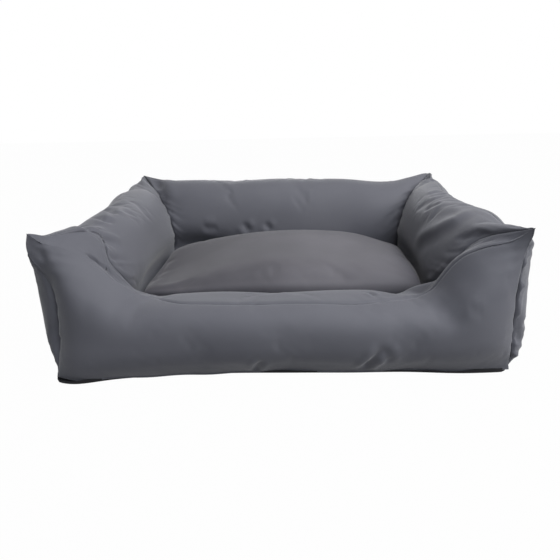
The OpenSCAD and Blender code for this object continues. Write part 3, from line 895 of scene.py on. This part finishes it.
# Steps across the panels, close together towards the top seam
OUTER_Q = np.concatenate([stepped((0, 1, 5), (1, 2, 15))[:-1],
                          SEAM_Q - close_to(0, 0.8, 0.007, 1.12, 0.04)[::-1]])
INNER_Q = np.concatenate([SEAM_Q + close_to(0, 0.2, 0.008, 1.25, 0.035)[:-1],
                          close_to(3, 1, 0.008, 1.1, 0.022)[:-1], np.linspace(4, 5, 12)])
# The front has finer steps, and the finest ones round its slit
FRONT_WIDEST = 0.0026
SLIT_STEP = 0.0027
SLIT_T = np.arange(0.70, 0.93, SLIT_STEP)


def panel(wall, side, qs):
    """Grid of points of one panel, with its swell, folds and puckers."""
    if wall.name == "front":
        steps = edge_steps(wall.half, widest=FRONT_WIDEST)
        after = steps > SLIT_T[-1] + SLIT_STEP / 2
        steps = np.concatenate([steps[steps < SLIT_T[0]], SLIT_T, steps[after]])
    else:
        steps = edge_steps(wall.half)
    points = wall.surface(steps, qs)
    points = points + carried(wall.puff, (SIM_T, SIM_Q), (steps, qs))
    run = lengths_across(points)
    end = (1 - np.abs(steps))[:, None] * wall.half * np.ones_like(run)
    seed = 100 + 10 * wall.turns + (side == "inner")
    on_strip = (steps > 0) & (wall.name == "right") & (side == "outer")
    size = np.where(on_strip, STRIP_PUCKER, PUCKER)[:, None]
    points = puckered(points, end, run, size, seed)
    top = run if side == "inner" else run[:, -1:] - run
    loose = np.clip(np.minimum(end, top) / FOLD_STOP, 0, 1)
    return points + (folded(points, f"{wall.name}_{side}") - points) * loose[..., None]


for wall in walls:
    for side, qs in (("outer", OUTER_Q), ("inner", INNER_Q)):
        node = f"{wall.name}_{side}_panel"
        mesh = cloth_shell(node, panel(wall, side, qs))
        piece = new_piece(f"{wall.name}_{side}_cloth", mesh, grey_cloth, "bed", [node])


# Walls' filling
# Loose polyester fibre that was stuffed in through the zip. It fills each wall to its
# cloth, and shows nowhere while the covers are shut.
FIBRE = (0.78, 0.77, 0.74)
FILL_IN = 0.009
FILL_OVER_FLOOR = 0.0005
# How much slacker it gets at a wall's ends, and where along the wall that sets in
FILL_SLACK, SLACK_FROM, SLACK_OVER = 0.25, 0.85, 0.12


def grain():
    """Fine grain or tangle in a surface, with its colours, gloss and relief."""
    group, into, out = new_group(
        "grain",
        [("Low", "NodeSocketColor", (0, 0, 0, 1)), ("High", "NodeSocketColor", (1, 1, 1, 1)),
         ("Scale", "NodeSocketFloat", 400.0), ("Detail", "NodeSocketFloat", 5.0),
         ("Distortion", "NodeSocketFloat", 0.0), ("Stretch", "NodeSocketVector", (1, 1, 1)),
         ("Rough", "NodeSocketFloat", 0.5), ("Uneven", "NodeSocketFloat", 0.3)],
        [("Color", "NodeSocketColor"), ("Rough", "NodeSocketFloat"),
         ("Height", "NodeSocketFloat")],
    )
    place = add_node(group, "TexCoord").outputs["Object"]
    along = add_node(group, "Mapping", {"Vector": place, "Scale": into.outputs["Stretch"]})
    tangle = {label: into.outputs[label] for label in ("Scale", "Detail", "Distortion")}
    noise = add_node(group, "TexNoise", {"Vector": along.outputs[0], **tangle}).outputs[0]
    change = math_node(group, "MULTIPLY_ADD", math_node(group, "SUBTRACT", noise, 0.5),
                       into.outputs["Uneven"], 1.0)
    put_in(out, {"Color": mix_node(group, noise, into.outputs["Low"], into.outputs["High"]),
                 "Rough": math_node(group, "MULTIPLY", change, into.outputs["Rough"]),
                 "Height": noise})
    return group


GRAIN = grain()


def grainy_material(name, low, high, relief, values, metal=0.0):
    """Matt or shiny surface with the grain group's values, its two colours and its relief."""
    material, tree, shader = new_material(name)
    fine = add_group(tree, GRAIN, {"Low": (*low, 1), "High": (*high, 1), **values})
    bump = add_node(tree, "Bump", {"Distance": relief, "Height": fine.outputs["Height"]})
    put_in(shader, {"Base Color": fine.outputs["Color"], "Roughness": fine.outputs["Rough"],
                    "Metallic": metal, "Normal": bump.outputs[0]})
    return material


fibre = grainy_material("fibre", [0.75 * c for c in FIBRE], FIBRE, 0.001,
                        {"Scale": 260.0, "Detail": 6.0, "Distortion": 1.5, "Rough": 0.95,
                         "Uneven": 0.0})
FILL_T = np.linspace(-0.97, 0.97, 61)
FILL_Q = stepped((0, 2, 9), (2, 3, 11), (3, 4, 13), (4, 4.96, 5))
for wall in walls:
    cover = wall.surface(FILL_T, FILL_Q, sewn=False)
    cover = cover + carried(wall.puff, (SIM_T, SIM_Q), (FILL_T, FILL_Q))
    cover = cover - outward(cover) * FILL_IN
    slack = FILL_SLACK * np.clip((np.abs(FILL_T) - SLACK_FROM) / SLACK_OVER, 0, 1) ** 2
    cover = blend(cover, cover.mean(1, keepdims=True), slack[:, None, None])
    cover[..., 2] = np.maximum(cover[..., 2], FLOOR_Z + FILL_OVER_FLOOR)
    mesh = solid_mesh(f"{wall.name}_fibre", cover, tube_faces(*cover.shape[:2]))
    piece = new_piece(f"{wall.name}_fibre", mesh, fibre, "bed", [f"{wall.name}_fill"])


# Base and floor sheets
# The bed stands on a black non-slip sheet, whose edge is turned up round the walls'
# feet. A plain grey sheet lies on it, under the cushion and the walls' filling.
BASE = (0.012, 0.012, 0.014)
BASE_DUSTY = (0.022, 0.022, 0.024)
BASE_T = 0.0015
BASE_IN = 0.0024
BASE_ROUND = 0.012
LIP_H = 0.0055
# Rings of its underside, from near the middle to the edge, and of its lip: how far in
# and how high each is
BASE_RINGS = ((0.30, 0), (0.22, 0), (0.12, 0), (0.05, 0), (0.02, 0), (0.006, 0),
              (0.0012, 0.0002), (0.0002, 0.0009), (0, 0.002))
LIP_RINGS = ((0, LIP_H - 0.0004), (0.0006, LIP_H), (0.0012, LIP_H - 0.0004),
             (0.0013, 0.0028), (0.0022, 0.0017), (0.006, BASE_T))
# Where it has been pushed out under the front: place, reach and shift in mm
BASE_PUSHED = [
    ((-385, -318, 0), (60, 60, 60), (-3, -9, 0)),
    ((15, -318, 0), (70, 60, 60), (0, -4, 0)),
    ((290, -318, 0), (120, 60, 60), (0, -5, 0)),
]
# How unevenly the lip stands, how far apart its lumps are, and their seed
LIP_LUMPS = (0.22, 0.07, 5)
# The floor sheet's colours, height over the ground and thickness, how far inside the
# walls' lower seams it ends, its corners' radius and its edge's bevel
LINING = (0.16, 0.16, 0.17)
LINING_DUSTY = (0.20, 0.20, 0.21)
FLOOR_SHEET_Z = 0.0018
FLOOR_SHEET_T = 0.001
FLOOR_SHEET_IN = 0.0075
FLOOR_SHEET_ROUND = 0.010
FLOOR_SHEET_EDGE = 0.0003


def rounded_outline(x, y, radius, count):
    """Points round a rectangle with round corners, evenly spaced."""
    corners = []
    for cx, cy, start in ((x, y, 0), (-x, y, 90), (-x, -y, 180), (x, -y, 270)):
        for k in range(9):
            a = math.radians(start + 90 * k / 8)
            corners.append((cx - math.copysign(radius, cx) + radius * math.cos(a),
                            cy - math.copysign(radius, cy) + radius * math.sin(a)))
    loop = np.array(corners + corners[:1])
    run = np.concatenate([[0], np.linalg.norm(np.diff(loop, axis=0), axis=1).cumsum()])
    at = np.linspace(0, run[-1], count, endpoint=False)
    return np.stack([np.interp(at, run, loop[:, k]) for k in (0, 1)], 1)


def plate_rings(profile, x, y, radius, count=360):
    """Closed solid through rings; profile gives each ring's inset and height."""
    rings = []
    for inset, z in profile:
        if inset < radius:
            loop = rounded_outline(x - inset, y - inset, radius - inset * 0.9, count)
        else:
            loop = rounded_outline(x, y, radius, count) * (1 - inset / min(x, y))
        rings.append(np.column_stack([loop, np.full(count, z)]))
    vertices = np.concatenate(rings + [[[0, 0, profile[0][1]], [0, 0, profile[-1][1]]]])
    *faces, bottom, top = tube_faces(len(profile), count)
    bottom.reverse()
    middle = len(profile) * count
    faces += [[a, middle, b] for a, b in zip(bottom, bottom[1:] + bottom[:1])]
    faces += [[b, middle + 1, a] for a, b in zip(top, top[1:] + top[:1])]
    return vertices, faces


black_cloth = cloth_material("base_fabric", BASE, BASE_DUSTY, thread=0.0014, depth=0.0004,
                             sheen=0.05)
x, y = SEAM_X - FOOT_IN - BASE_IN, SEAM_Y - FOOT_IN - BASE_IN
profile = [*BASE_RINGS, *LIP_RINGS] + [(inset, BASE_T) for inset, _ in BASE_RINGS[4::-1]]
vertices, faces = plate_rings(profile, x, y, BASE_ROUND)
lip = vertices[:, 2] > BASE_T + 0.0005
vertices[lip, 2] *= 1 + LIP_LUMPS[0] * lumps(vertices[lip], *LIP_LUMPS[1:])
for push in BASE_PUSHED:
    vertices += pushed(vertices, [push])
flat_z = vertices[:, 2].copy()
vertices = settle(vertices)
vertices[:, 2] = np.where(lip, vertices[:, 2].clip(0), flat_z)
mesh = solid_mesh("base_sheet_cloth", vertices, faces)
piece = new_piece("base_sheet_cloth", mesh, black_cloth, "bed", ["base_sheet"])

lining = cloth_material("lining_fabric", LINING, LINING_DUSTY, thread=0.0012)
x, y = SEAM_X - FOOT_IN - FLOOR_SHEET_IN, SEAM_Y - FOOT_IN - FLOOR_SHEET_IN
low, high = FLOOR_SHEET_Z, FLOOR_SHEET_Z + FLOOR_SHEET_T
profile = [(inset, low) for inset, _ in BASE_RINGS[:6]]
profile += [(0, low + FLOOR_SHEET_EDGE), (0, high - FLOOR_SHEET_EDGE)]
profile += [(inset, high) for inset, _ in BASE_RINGS[5::-1]]
vertices, faces = plate_rings(profile, x, y, FLOOR_SHEET_ROUND)
mesh = solid_mesh("floor_sheet_cloth", vertices, faces)
piece = new_piece("floor_sheet_cloth", mesh, lining, "bed", ["floor_sheet"])


# Cushion
# Loose cushion in the same cloth, in one panel above and one below, with a seam
# round its edge and no piping. Its crown stands higher than the low front wall.
# Its darker colour, which the painted shade keeps at its left end, and its lighter one, which the
# right end leans towards; the same two are also the clean and dusty colours of its patches of wear
CUSHION_CLEAN_AND_SHADED = (0.074, 0.071, 0.082)
CUSHION_DUSTY_AND_LIT = (0.139, 0.134, 0.150)
# A shade is painted into its colour: darker towards its left end, by the left wall, and lighter
# towards its right end
CUSHION_PAINTED_SHADE = {"From Min": -0.30, "From Max": 0.12, "To Min": -0.9, "To Max": 0.7}
CUSHION_HALF = (0.292, 0.175)
CUSHION_MID = -0.009
CUSHION_ROUND = (0.110, 0.095)
CUSHION_SEAM_Z = 0.090
CUSHION_H = 0.162
CROWN = 0.020
# Half the gap between the two panels' edges, and how the seam draws them in
CUSHION_CUT = 0.0002
RIM_DEPTH = 0.0022
RIM_WIDTH = 0.006
# How squarely the crown and the underside turn down to the seam
CROWN_POWER = 3.6
FOOT_POWER = 3
# Straight share of each side
KEEP = [1 - a / b for a, b in zip(CUSHION_ROUND, CUSHION_HALF)]
# How much squarer the front corners are than the round ones at the back
SQUARED = 0.8
# Where the filling is fuller or slacker than the plain crown: place, reach and height
# in mm
PLUMP = [
    ((40, 70), (190, 120), 9),
    ((-235, 130), (80, 80), -6),
    ((265, 130), (70, 80), -16),
    ((-285, -60), (150, 190), -41),
]
# Pressure of its filling, how much larger the cloth is than its seams allow, how far it
# moves at most, and the share of its wrinkles that is kept
CUSHION_PRESSURE = 2.0
CUSHION_GROWTH = 0.015
CUSHION_MOVE_MOST = 0.006
CUSHION_WRINKLES = 0.8
# Middle of the zip on the underside, how far it faces down, and the ways out of it and
# across it
CUSHION_ZIP = np.array((0, 0.1432, 0.02056))
ZIP_LEAN = math.radians(50.36874)
CUSHION_ZIP_FACE = np.array((0, math.cos(ZIP_LEAN), -math.sin(ZIP_LEAN)))
CUSHION_ZIP_UP = np.array((0, math.sin(ZIP_LEAN), math.cos(ZIP_LEAN)))
# Half the length and width within which the cloth is drawn flat behind it, and how far
# in from there that is only partly so
ZIP_FLAT = (0.168, 0.019)
ZIP_FADE = (0.012, 0.008)
# Gap between the tapes and the cloth
ZIP_GAP = 0.0001


def cushion_surface(u, v, side):
    """Grid of points of the cushion's cover; side is 1 on the crown and -1 below."""
    u, v = np.meshgrid(u, v, indexing="ij")
    a = np.maximum(0, (np.abs(u) - KEEP[0]) / (1 - KEEP[0]))
    b = np.maximum(0, (np.abs(v) - KEEP[1]) / (1 - KEEP[1]))
    ra, rb = a * np.sqrt(1 - b * b / 2), b * np.sqrt(1 - a * a / 2)
    rho = np.minimum(1, np.hypot(ra, rb))
    square = SQUARED * np.clip(0.5 - 2 * v, 0, 1)
    ra, rb = blend(ra, a, square), blend(rb, b, square)
    x = np.sign(u) * (np.minimum(np.abs(u), KEEP[0]) * CUSHION_HALF[0] + ra * CUSHION_ROUND[0])
    y = np.sign(v) * (np.minimum(np.abs(v), KEEP[1]) * CUSHION_HALF[1] + rb * CUSHION_ROUND[1])
    dome = CROWN * (1 - (x / CUSHION_HALF[0]) ** 2) * (1 - (y / CUSHION_HALF[1]) ** 2)
    if side > 0:
        fall = (1 - rho ** CROWN_POWER) ** (1 / CROWN_POWER)
        z = (CUSHION_SEAM_Z + (CUSHION_H - CROWN - CUSHION_SEAM_Z) * fall
             + dome * np.sqrt(1 - rho ** 4))
        for place, reach, height in PLUMP:
            away = ((x * 1000 - place[0]) / reach[0]) ** 2 + ((y * 1000 - place[1]) / reach[1]) ** 2
            z = z + height / 1000 * np.exp(-away) * np.sqrt(1 - rho ** 4)
    else:
        fall = (1 - rho ** FOOT_POWER) ** (1 / FOOT_POWER)
        z = CUSHION_SEAM_Z - (CUSHION_SEAM_Z - FLOOR_Z) * fall
    return np.stack([x, y + CUSHION_MID, z], -1)


SIM_U = np.linspace(-1, 1, 67)
SIM_V = np.linspace(-1, 1, 41)
top, low = cushion_surface(SIM_U, SIM_V, 1), cushion_surface(SIM_U, SIM_V, -1)
rows, columns = top.shape[:2]
at = np.arange(rows * columns).reshape(rows, columns)
below = at + rows * columns
below[[0, -1]] = at[[0, -1]]
below[:, [0, -1]] = at[:, [0, -1]]
faces = np.concatenate([grid_quads(at), grid_quads(below[:, ::-1])])
# What lies on the floor sheet is held fast, and the rest of the underside and the seam
# less firmly
held = np.zeros((2, rows, columns))
held[1] = np.where(low[..., 2] < FLOOR_Z + 0.004, 1.0, 0.4)
held[0][[0, -1]] = held[0][:, [0, -1]] = 0.6
pad = pillow("cushion_pillow", np.stack([top, low]), faces.tolist(), held.ravel(),
             CUSHION_PRESSURE, CUSHION_GROWTH)
[move] = blown_up([pad], [CUSHION_MOVE_MOST])
cushion_puff = np.stack([CUSHION_WRINKLES * wrinkles(side, (7, 7))
                         for side in move.reshape(2, rows, columns, 3)])
cushion_puff[1][[0, -1]] = cushion_puff[0][[0, -1]]
cushion_puff[1][:, [0, -1]] = cushion_puff[0][:, [0, -1]]


def cushion_cover(u, v, side):
    """Grid of points of the cushion's cover with the wrinkles that its pressure gives it."""
    puff = cushion_puff[0 if side > 0 else 1]
    return cushion_surface(u, v, side) + carried(puff, (SIM_U, SIM_V), (u, v))


def zip_flat(points):
    """Grid of the lower panel's points, drawn flat behind the zip's tapes."""
    from_zip = points - CUSHION_ZIP
    above, along = from_zip @ CUSHION_ZIP_FACE, from_zip @ CUSHION_ZIP_UP
    share = (np.clip((ZIP_FLAT[0] - np.abs(from_zip[..., 0])) / ZIP_FADE[0], 0, 1)
             * np.clip((ZIP_FLAT[1] - np.abs(along)) / ZIP_FADE[1], 0, 1))
    return points - (share * (above + ZIP_GAP))[..., None] * CUSHION_ZIP_FACE


def cushion_panel(side):
    """Grid of points of one panel of the cushion's cover, drawn in at its seam."""
    u, v = (edge_steps(half, first=0.0008, widest=0.006) for half in CUSHION_HALF)
    points = cushion_cover(u, v, side)
    edge = np.minimum((1 - np.abs(u))[:, None] * CUSHION_HALF[0],
                      (1 - np.abs(v)) * CUSHION_HALF[1])
    groove = RIM_DEPTH * drawn_in(edge, RIM_WIDTH)
    inward = (0, CUSHION_MID, CUSHION_SEAM_Z) - points
    points = points + inward * (groove / np.linalg.norm(inward, axis=-1))[..., None]
    points[..., 2] += side * CUSHION_CUT
    if side > 0:
        return points[:, ::-1]
    points = zip_flat(points)
    points[..., 2] = np.maximum(points[..., 2], FLOOR_Z)
    return points


# The cushion's cloth, with a shade painted into its colour along x
cushion_cloth = cloth_material("cushion_fabric", CUSHION_CLEAN_AND_SHADED, CUSHION_DUSTY_AND_LIT,
                               painted_shade=CUSHION_PAINTED_SHADE)
for side, name in ((1, "top"), (-1, "bottom")):
    mesh = cloth_shell(f"cushion_{name}", cushion_panel(side))
    piece = new_piece(f"cushion_{name}_cloth", mesh, cushion_cloth, "cushion",
                      [f"cushion_{name}_panel"])

# Its filling lies inside both panels, and stays thinner than them at the seam
CUSHION_FILL_SHARE = 0.985
CUSHION_FILL_EDGE = 0.0004
CUSHION_FILL_OVER_FLOOR = 0.002
fill_u, fill_v = np.linspace(-0.99, 0.99, 41), np.linspace(-0.99, 0.99, 27)
top, low = (cushion_cover(fill_u, fill_v, side) - (0, 0, side * FILL_IN) for side in (1, -1))
for shell in (top, low):
    shell[..., :2] *= CUSHION_FILL_SHARE
middle = (top[..., 2] + low[..., 2]) / 2
top[..., 2] = np.maximum(top[..., 2], middle + CUSHION_FILL_EDGE)
low[..., 2] = np.maximum(np.minimum(low[..., 2], middle - CUSHION_FILL_EDGE),
                         FLOOR_Z + CUSHION_FILL_OVER_FLOOR)
mesh = solid_mesh("cushion_fibre", np.stack([top, low]), shell_faces(*middle.shape).tolist())
piece = new_piece("cushion_fibre", mesh, fibre, "cushion", ["cushion_fill"])


# Zips
# A black nylon coil zip at the foot of the back wall and another on the cushion's
# underside, each with nickel stops, slider and pull. A row of stitches runs along each
# side of their tapes.
COIL = (0.014, 0.014, 0.016)
TAPE = (0.022, 0.022, 0.026)
NICKEL = (0.60, 0.59, 0.56)
TAPE_T = 0.0008
COIL_PITCH = 0.0015
STITCH_PITCH = 0.0032
STITCH_ROW = 0.0076
# Rings of one turn of the coil, from the tape to past the middle: distance across,
# height over the tape's back, half its width and half its height, in mm
COIL_RINGS = ((2.45, 1.10, 0.30, 0.28), (1.7, 1.62, 0.36, 0.66), (0.5, 1.62, 0.36, 0.70),
              (-0.45, 1.5, 0.28, 0.45))
# Rings of a stitch: place along the tape, half its height and half its width, in mm
STITCH_RINGS = ((-1.2, 0.02, 0.10), (-0.95, 0.18, 0.26), (0.95, 0.18, 0.26), (1.2, 0.02, 0.10))

coil_finish = grainy_material("zip_coil", COIL, [1.8 * c for c in COIL], 0.00004,
                              {"Scale": 400.0, "Rough": 0.38})
tape_finish = grainy_material("zip_tape", TAPE, [1.7 * c for c in TAPE], 0.00015,
                              {"Scale": 1500.0, "Rough": 0.85})
# The nickel is brushed along the zip
metal_finish = grainy_material("zip_metal", NICKEL, [0.8 * c for c in NICKEL], 0.00002,
                               {"Scale": 300.0, "Rough": 0.3, "Stretch": (1, 6, 6)}, metal=1.0)


def joined(parts):
    """One list of vertices and faces out of several."""
    vertices, faces = [], []
    for some, with_faces in parts:
        start = sum(len(v) for v in vertices)
        vertices.append(some)
        faces += [[v + start for v in face] for face in with_faces]
    return np.concatenate(vertices), faces


def repeated(rings, places):
    """Tubes through the same rings, in mm, at each place along x."""
    rings = np.array(rings)
    faces = tube_faces(*rings.shape[:2])
    tube = rings.reshape(-1, 3) / 1000
    return joined([(tube + (x, 0, 0), faces) for x in places])


# Angles round the coil and round a stitch
ROUND = np.linspace(0, 2 * math.pi, 6, endpoint=False)
# Each zip lies in a frame of its own: x along it, then out of the cloth, then across
for owner, body, centre, out, across in (
        ("cover", "bed", (0, SEAM_Y - FOOT_IN, FOOT_Z + STRIP_H / 2), (0, 1, 0), (0, 0, 1)),
        ("cushion", "cushion", CUSHION_ZIP, CUSHION_ZIP_FACE, CUSHION_ZIP_UP)):
    axes = np.array(((1, 0, 0), out, across), float)
    for part, finish in (("tapes", tape_finish), ("stops", metal_finish),
                         ("slider", metal_finish), ("pull", metal_finish)):
        for slot in bpy.data.objects[f"{owner}_zip_{part}"].material_slots:
            slot.material = finish
    low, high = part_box(f"{owner}_zip_chain")
    first, last = low[0] + COIL_PITCH / 2, high[0] - COIL_PITCH / 2
    coils, rows = [], []
    for side, late in ((1, 0), (-1, COIL_PITCH / 2)):
        rings = [[(wide * math.cos(a), up + tall * math.sin(-side * a), side * far)
                  for a in ROUND] for far, up, wide, tall in COIL_RINGS]
        coils.append(repeated(rings, np.arange(first + late, last, COIL_PITCH)))
        rings = [[(x, TAPE_T * 1000 + tall * math.cos(a),
                   side * STITCH_ROW * 1000 + wide * math.sin(a))
                  for a in ROUND] for x, tall, wide in STITCH_RINGS]
        rows.append(repeated(rings, np.arange(first, last, STITCH_PITCH)))
    for part, parts, nodes, slot in (("coil", coils, [f"{owner}_zip_chain"], "zip_coil"),
                                     ("stitches", rows, [], "zip_tape")):
        vertices, faces = joined(parts)
        mesh = solid_mesh(f"{owner}_zip_{part}", vertices @ axes + centre, faces)
        new_piece(f"{owner}_zip_{part}", mesh, coil_finish, body, nodes)


# Floor, backdrop and light
# The bed stands on a white surface in a studio, lit by large soft lamps from the right,
# from in front and from above, with a weak one behind it and faint light all round.

# Half the ground's length, and its height, just under the bed
GROUND_HALF = 6
GROUND_Z = -0.0005
GROUND = (0.26, 0.26, 0.26, 1)
GROUND_ROUGH = 0.9
# How far what is seen of it glows white, which leaves only a faint shadow
GROUND_WHITE = 0.985
ROOM = (0.95, 0.97, 1.0, 1)
ROOM_STRENGTH = 0.06
WHITE = (1, 1, 1, 1)


def background_ray(tree):
    """1 for a ray that meets the background straight, in gloss or through glass, else 0."""
    path = add_node(tree, "LightPath").outputs
    either = math_node(tree, "MAXIMUM", path["Is Camera Ray"], path["Is Glossy Ray"])
    return math_node(tree, "MAXIMUM", either, path["Is Transmission Ray"])


corners = [(x * GROUND_HALF, y * GROUND_HALF, GROUND_Z)
           for x, y in ((-1, -1), (1, -1), (1, 1), (-1, 1))]
ground = bpy.data.meshes.new("ground")
ground.from_pydata(corners, [], [(0, 1, 2, 3)])
ground_object = bpy.data.objects.new("ground", ground)
scene.collection.objects.link(ground_object)

white, tree, shader = new_material("white_ground")
put_in(shader, {"Base Color": GROUND, "Roughness": GROUND_ROUGH})
seen = add_node(tree, "Emission", {"Color": WHITE})
share = math_node(tree, "MULTIPLY", background_ray(tree), GROUND_WHITE)
either = add_node(tree, "MixShader", {0: share, 1: shader.outputs[0], 2: seen.outputs[0]})
put_in(tree.nodes["Material Output"], {"Surface": either.outputs[0]})
ground.materials.append(white)

sky = bpy.data.worlds.new("studio")
scene.world = sky
sky.use_nodes = True
tree = sky.node_tree
tree.nodes.clear()
room = add_node(tree, "Background", {"Color": ROOM, "Strength": ROOM_STRENGTH})
seen = add_node(tree, "Background", {"Color": WHITE})
either = add_node(tree, "MixShader",
                  {0: background_ray(tree), 1: room.outputs[0], 2: seen.outputs[0]})
add_node(tree, "OutputWorld", {"Surface": either.outputs[0]})

# Square lamps, all turned to the bed: place, size, watts and colour
LAMPS_FACE = Vector((0, 0, 0.1))
LAMPS = {
    "key_lamp": ((1.75, -0.55, 1.65), 1.3, 38, (1.0, 0.99, 0.97)),
    "back_lamp": ((-0.5, 2.4, 0.8), 1.2, 7, (0.95, 0.97, 1.0)),
    "front_lamp": ((1.0, -2.0, 1.9), 1.6, 34, (0.90, 0.95, 1.0)),
    "top_lamp": ((0.3, -0.1, 2.8), 1.6, 26, (0.98, 0.99, 1.0)),
}
for name, (place, size, watts, color) in LAMPS.items():
    light = bpy.data.lights.new(name, "AREA")
    light.shape = "SQUARE"
    light.size = size
    light.energy = watts
    light.color = color
    lamp = bpy.data.objects.new(name, light)
    scene.collection.objects.link(lamp)
    lamp.location = place
    lamp.rotation_mode = "QUATERNION"
    lamp.rotation_quaternion = (LAMPS_FACE - Vector(place)).to_track_quat("-Z", "Y")
